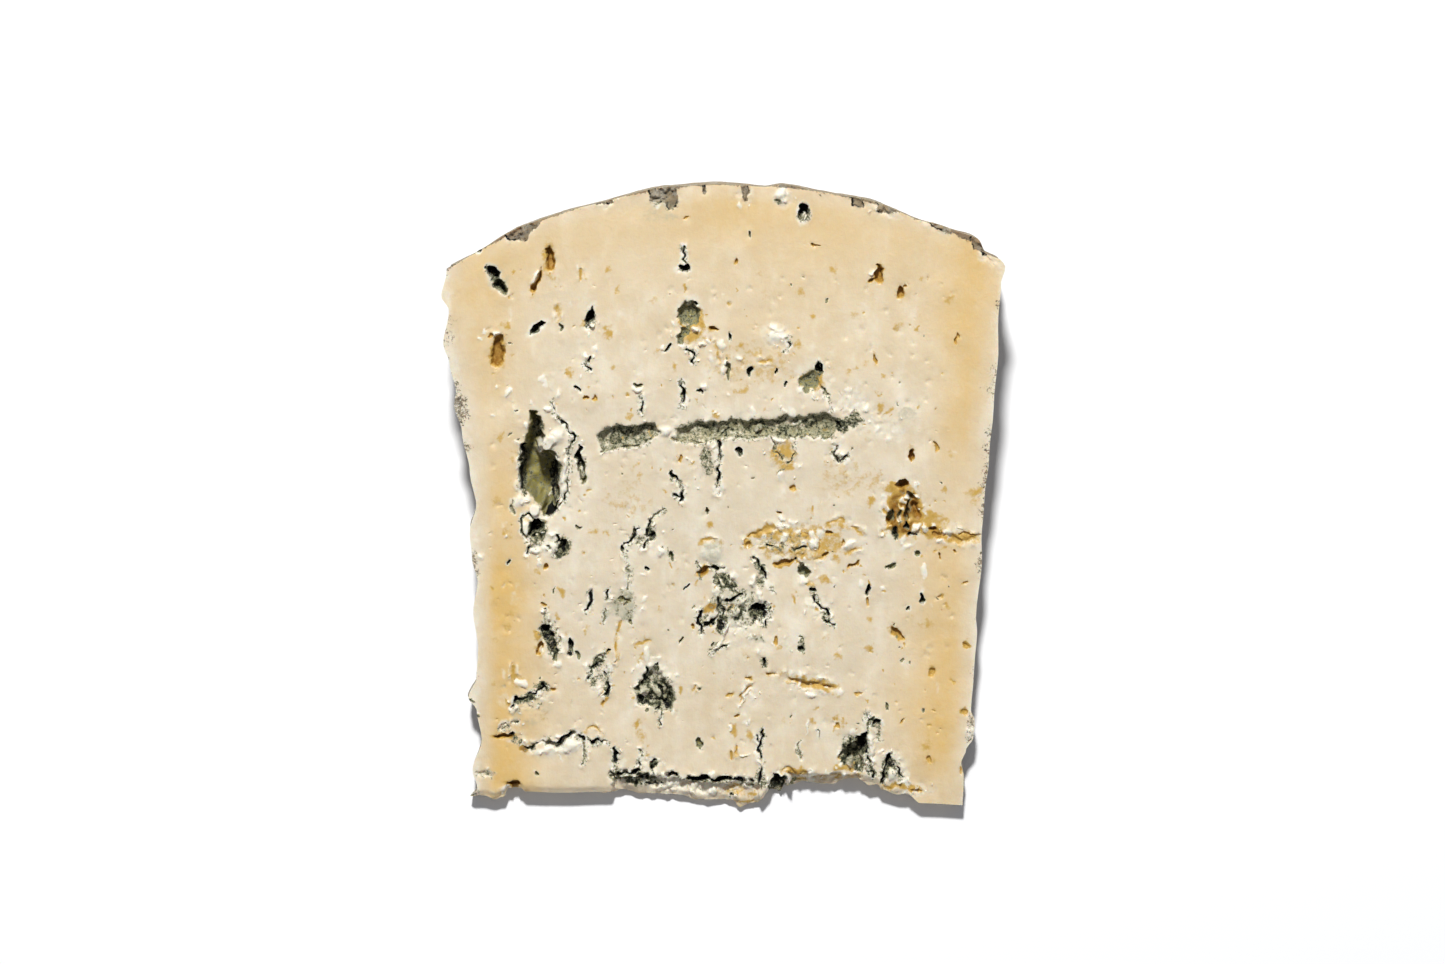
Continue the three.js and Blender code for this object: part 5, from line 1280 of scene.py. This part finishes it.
def cheese_mesh():
    points, stains = wrapped_sheet()
    marks = [stains[name].astype(np.float32) for name in SHARP_STAINS]
    triangles = thinned_triangles(points, marks)
    used, corners = np.unique(triangles, return_inverse=True)
    corners = corners.reshape(-1, 3)
    places = (points[used] - [CENTRE_X, CENTRE_Y, 0]) * MM

    mesh = bpy.data.meshes.new("cheese")
    mesh.from_pydata(places.tolist(), [], corners.tolist())
    for name in STAINS:
        layer = mesh.attributes.new(name, "FLOAT", "POINT")
        layer.data.foreach_set("value", stains[name][used].astype(np.float32))
    return mesh


# Joins the edge of the sheet, which has been drawn together to one point, so that the skin is closed.
JOIN_DISTANCE = 1e-7


def close_underside(mesh):
    skin = bmesh.new()
    skin.from_mesh(mesh)
    bmesh.ops.remove_doubles(skin, verts=skin.verts, dist=JOIN_DISTANCE)
    bmesh.ops.dissolve_degenerate(skin, edges=skin.edges, dist=JOIN_DISTANCE)
    skin.to_mesh(mesh)
    skin.free()


SHARP_ANGLE = math.radians(52)


def build_cheese():
    mesh = cheese_mesh()
    cheese = bpy.data.objects.new("cheese_wedge", mesh)
    bpy.context.collection.objects.link(cheese)
    close_underside(mesh)
    mesh.materials.append(cheese_material())
    mesh.shade_smooth()
    mesh.set_sharp_from_angle(angle=SHARP_ANGLE)
    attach(cheese, "root")
    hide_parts("blue_cheese_wedge")


# Colours read off the photo, as red, green and blue from 0 to 255.
PALETTE = {
    "core": (221, 206, 178),
    "core_light": (226, 214, 190),
    "ripe": (221, 186, 118),
    "curd": (237, 231, 213),
    "smear": (186, 181, 156),
    "amber": (200, 164, 84),
    "brown": (142, 98, 30),
    "olive": (146, 136, 70),
    "mould_pale": (168, 163, 134),
    "mould": (102, 103, 76),
    "mould_deep": (40, 42, 28),
    # near black: dark mould with painted shade in holes, cracks and gaps, and the dark outlines of rind
    # patches
    "dark": (8, 8, 5),
    "rind": (144, 128, 101),
    "rind_grey": (146, 140, 126),
    "rind_brown": (134, 108, 76),
    "rind_powder": (188, 181, 162),
    "rind_dark": (66, 60, 48),
}


# A colour of the palette as the linear colour that shaders use.
def linear(name):
    def channel(value):
        share = value / 255
        return share / 12.92 if share <= 0.04045 else ((share + 0.055) / 1.055) ** 2.4
    return (*[channel(value) for value in PALETTE[name]], 1.0)


class Shader:
    """Small helpers for laying out one node material."""

    def __init__(self, name):
        self.material = bpy.data.materials.new(name)
        self.material.use_nodes = True
        self.nodes = self.material.node_tree.nodes
        self.links = self.material.node_tree.links
        self.nodes.clear()
        self.surface = self.nodes.new("ShaderNodeBsdfPrincipled")
        output = self.nodes.new("ShaderNodeOutputMaterial")
        self.links.new(self.surface.outputs[0], output.inputs["Surface"])
        self.place = self.nodes.new("ShaderNodeTexCoord").outputs["Object"]

    def attribute(self, name):
        node = self.nodes.new("ShaderNodeAttribute")
        node.attribute_name = name
        return node.outputs["Fac"]

    def noise(self, scale, detail, roughness, stretch):
        squeeze = self.nodes.new("ShaderNodeVectorMath")
        squeeze.operation = "MULTIPLY"
        squeeze.inputs[1].default_value = stretch
        self.links.new(self.place, squeeze.inputs[0])
        node = self.nodes.new("ShaderNodeTexNoise")
        node.inputs["Scale"].default_value = scale
        node.inputs["Detail"].default_value = detail
        node.inputs["Roughness"].default_value = roughness
        self.links.new(squeeze.outputs[0], node.inputs["Vector"])
        return node.outputs["Fac"]

    def math(self, operation, first, second):
        node = self.nodes.new("ShaderNodeMath")
        node.operation = operation
        self.feed(first, node.inputs[0])
        self.feed(second, node.inputs[1])
        return node.outputs[0]

    def spread(self, value, low, high, to_low=0.0, to_high=1.0):
        node = self.nodes.new("ShaderNodeMapRange")
        node.interpolation_type = "SMOOTHSTEP"
        node.inputs["From Min"].default_value = low
        node.inputs["From Max"].default_value = high
        node.inputs["To Min"].default_value = to_low
        node.inputs["To Max"].default_value = to_high
        self.links.new(value, node.inputs["Value"])
        return node.outputs["Result"]

    def blend(self, share, first, second):
        node = self.nodes.new("ShaderNodeMix")
        node.data_type = "RGBA"
        self.feed(share, node.inputs["Factor"])
        self.feed(first, node.inputs["A"])
        self.feed(second, node.inputs["B"])
        return next(socket for socket in node.outputs if socket.type == "RGBA")

    # A stain whose edge is broken up by noise, so that it looks grown rather than painted.
    def grown(self, name, noise, raggedness, low, high):
        drift = self.spread(noise, 0.3, 0.7, -0.5 * raggedness, 0.5 * raggedness)
        edge = self.math("MULTIPLY", drift, self.spread(self.attribute(name), 0.0, 0.15))
        return self.spread(self.math("ADD", self.attribute(name), edge), low, high)

    def feed(self, value, socket):
        if isinstance(value, str):
            value = linear(value)
        if isinstance(value, (int, float, tuple)):
            socket.default_value = value
        else:
            self.links.new(value, socket)


# Noises of the cheese: scale, detail, roughness and stretch.
EVEN = (1.0, 1.0, 1.0)
NOISES = {
    "patches": (90, 5, 0.7, EVEN),
    "blotches": (180, 5, 0.65, EVEN),
    "grain": (900, 6, 0.7, EVEN),
    "fuzz": (2600, 5, 0.75, EVEN),
    "streaks": (700, 3, 0.55, (1.0, 0.3, 1.0)),
    "milk": (330, 4, 0.6, (1.0, 0.4, 1.0)),
}

# Stains that grow over the cheese, from faint to dark: the stain, the noise that breaks up its edge and how
# ragged that is, the shares of the stain where a colour sets in and is full, and the colour.
STAIN_COLOURS = [
    ("smear", "grain", 0.5, 0.1, 1.0, "smear"),
    ("amber", "grain", 0.5, 0.08, 0.6, "amber"),
    ("amber", "grain", 0.4, 0.55, 1.15, "brown"),
    ("olive", "fuzz", 0.5, 0.1, 0.8, "olive"),
    ("mould", "fuzz", 1.0, 0.12, 0.5, "mould_pale"),
    ("mould", "fuzz", 1.3, 0.3, 0.8, "mould"),
    ("mould", "fuzz", 1.3, 0.72, 1.15, "mould_deep"),
    # near black, for dark mould and for painted shade in holes, cracks and gaps
    ("dark", "fuzz", 0.5, 0.25, 0.7, "dark"),
]

# How light meets the cheese: its sheen, how dull paste and mould are, how far light passes through the
# paste, and how high its fine grain stands. Lengths are in metres.
SHEEN = 0.3
PASTE_DULLNESS, MOULD_DULLNESS = 0.5, 0.9
SEE_THROUGH = 0.35
SEE_THROUGH_RADIUS = (1.0, 0.62, 0.3)
SEE_THROUGH_SCALE = 0.001
GRAIN_HEIGHT = 0.00018
GRAIN_STRENGTH = 0.5


# Ivory in the middle, yellow where it has ripened, with paler grains of curd.
def paste_colour(shader, noises):
    light = shader.spread(noises["blotches"], 0.35, 0.7)
    milky = shader.spread(noises["milk"], 0.45, 0.72, 0.0, 0.55)
    varied = shader.spread(noises["grain"], 0.2, 0.8, 0.86, 1.12)
    ripe = shader.math("MULTIPLY", shader.attribute("ripe"), varied)
    curdy = shader.grown("curd", noises["grain"], 0.3, 0.1, 0.9)
    colour = shader.blend(light, "core", "core_light")
    colour = shader.blend(milky, colour, "curd")
    colour = shader.blend(ripe, colour, "ripe")
    return shader.blend(curdy, colour, "curd")


# Dry, mottled grey and brown with dark specks.
def rind_colour(shader, noises):
    mottle = shader.math("ADD", noises["blotches"], noises["grain"])
    colour = shader.blend(shader.spread(mottle, 0.9, 1.15), "rind", "rind_grey")
    colour = shader.blend(shader.spread(noises["patches"], 0.5, 0.62, 0.0, 0.7), colour, "rind_brown")
    colour = shader.blend(shader.spread(noises["milk"], 0.5, 0.66, 0.0, 0.55), colour, "rind_powder")
    return shader.blend(shader.spread(noises["fuzz"], 0.54, 0.66), colour, "rind_dark")


# Fine grain of the paste, coarser fuzz where it is dull with mould or rind.
def grain_bump(shader, noises, dull):
    bump = shader.nodes.new("ShaderNodeBump")
    bump.inputs["Distance"].default_value = GRAIN_HEIGHT
    bump.inputs["Strength"].default_value = GRAIN_STRENGTH
    fuzzy = shader.math("MULTIPLY", noises["fuzz"], shader.spread(dull, 0, 0.6, 0.3, 1.8))
    height = shader.math("ADD", noises["grain"], fuzzy)
    height = shader.math("ADD", height, noises["streaks"])
    shader.links.new(height, bump.inputs["Height"])
    return bump.outputs["Normal"]


def cheese_material():
    shader = Shader("blue_cheese")
    noises = {name: shader.noise(*shape) for name, shape in NOISES.items()}
    crust = shader.grown("rind", noises["fuzz"], 0.8, 0.3, 0.6)
    colour = shader.blend(crust, paste_colour(shader, noises), rind_colour(shader, noises))
    covers = {}
    for stain, noise, raggedness, low, high, name in STAIN_COLOURS:
        covers[name] = shader.grown(stain, noises[noise], raggedness, low, high)
        colour = shader.blend(covers[name], colour, name)
    dull = shader.math("MAXIMUM", covers["mould_pale"], crust)
    dullness = shader.spread(dull, 0.0, 0.6, PASTE_DULLNESS, MOULD_DULLNESS)

    inputs = shader.surface.inputs
    shader.links.new(colour, inputs["Base Color"])
    shader.links.new(dullness, inputs["Roughness"])
    shader.links.new(grain_bump(shader, noises, dull), inputs["Normal"])
    inputs["Specular IOR Level"].default_value = SHEEN
    inputs["Subsurface Weight"].default_value = SEE_THROUGH
    inputs["Subsurface Radius"].default_value = SEE_THROUGH_RADIUS
    inputs["Subsurface Scale"].default_value = SEE_THROUGH_SCALE
    return shader.material


# The plain white table.
TABLE_SIZE = 3.0
TABLE_WHITE = (0.88, 0.88, 0.88, 1)
TABLE_ROUGHNESS = 0.9
TABLE_SHEEN = 0.1


def build_table():
    bpy.ops.mesh.primitive_plane_add(size=TABLE_SIZE)
    table = bpy.context.object
    table.name = "table"
    shader = Shader("white_table")
    shader.surface.inputs["Base Color"].default_value = TABLE_WHITE
    shader.surface.inputs["Roughness"].default_value = TABLE_ROUGHNESS
    shader.surface.inputs["Specular IOR Level"].default_value = TABLE_SHEEN
    table.data.materials.append(shader.material)


# Soft studio light: a broad key from beyond the rind and faint light from all round.
TOWARDS_KEY = Vector((-1.4, 14.0, 20.0))
KEY_DISTANCE = 1.4
KEY_SIZE = 0.14
KEY_POWER = 23.5
SKY_COLOUR = (0.93, 0.96, 1.05, 1)
SKY_STRENGTH = 0.25


def build_light():
    data = bpy.data.lights.new("key", "AREA")
    data.shape = "DISK"
    data.size = KEY_SIZE
    data.energy = KEY_POWER
    key = bpy.data.objects.new("key", data)
    bpy.context.collection.objects.link(key)
    direction = TOWARDS_KEY.normalized()
    key.location = direction * KEY_DISTANCE
    key.rotation_mode = "QUATERNION"
    key.rotation_quaternion = direction.to_track_quat("Z", "Y")

    world = bpy.data.worlds.new("studio")
    world.use_nodes = True
    sky = world.node_tree.nodes["Background"]
    sky.inputs["Color"].default_value = SKY_COLOUR
    sky.inputs["Strength"].default_value = SKY_STRENGTH
    bpy.context.scene.world = world
    bpy.context.scene.view_settings.view_transform = "Standard"


# The camera looks straight down with the rind at the top of the picture.
CAMERA_HEIGHT = 0.8
CAMERA_X = -0.0001
CAMERA_Y = 0.00178
FIELD_WIDTH = 0.21503
SENSOR_WIDTH = 36.0
NEAREST_SEEN = 0.01


def build_camera():
    data = bpy.data.cameras.new("camera")
    data.sensor_width = SENSOR_WIDTH
    data.lens = SENSOR_WIDTH * CAMERA_HEIGHT / FIELD_WIDTH
    data.dof.use_dof = False
    data.clip_start = NEAREST_SEEN
    camera = bpy.data.objects.new("camera", data)
    camera.location = (CAMERA_X, CAMERA_Y, CAMERA_HEIGHT)
    bpy.context.collection.objects.link(camera)
    bpy.context.scene.camera = camera


build_cheese()
build_table()
build_light()
build_camera()
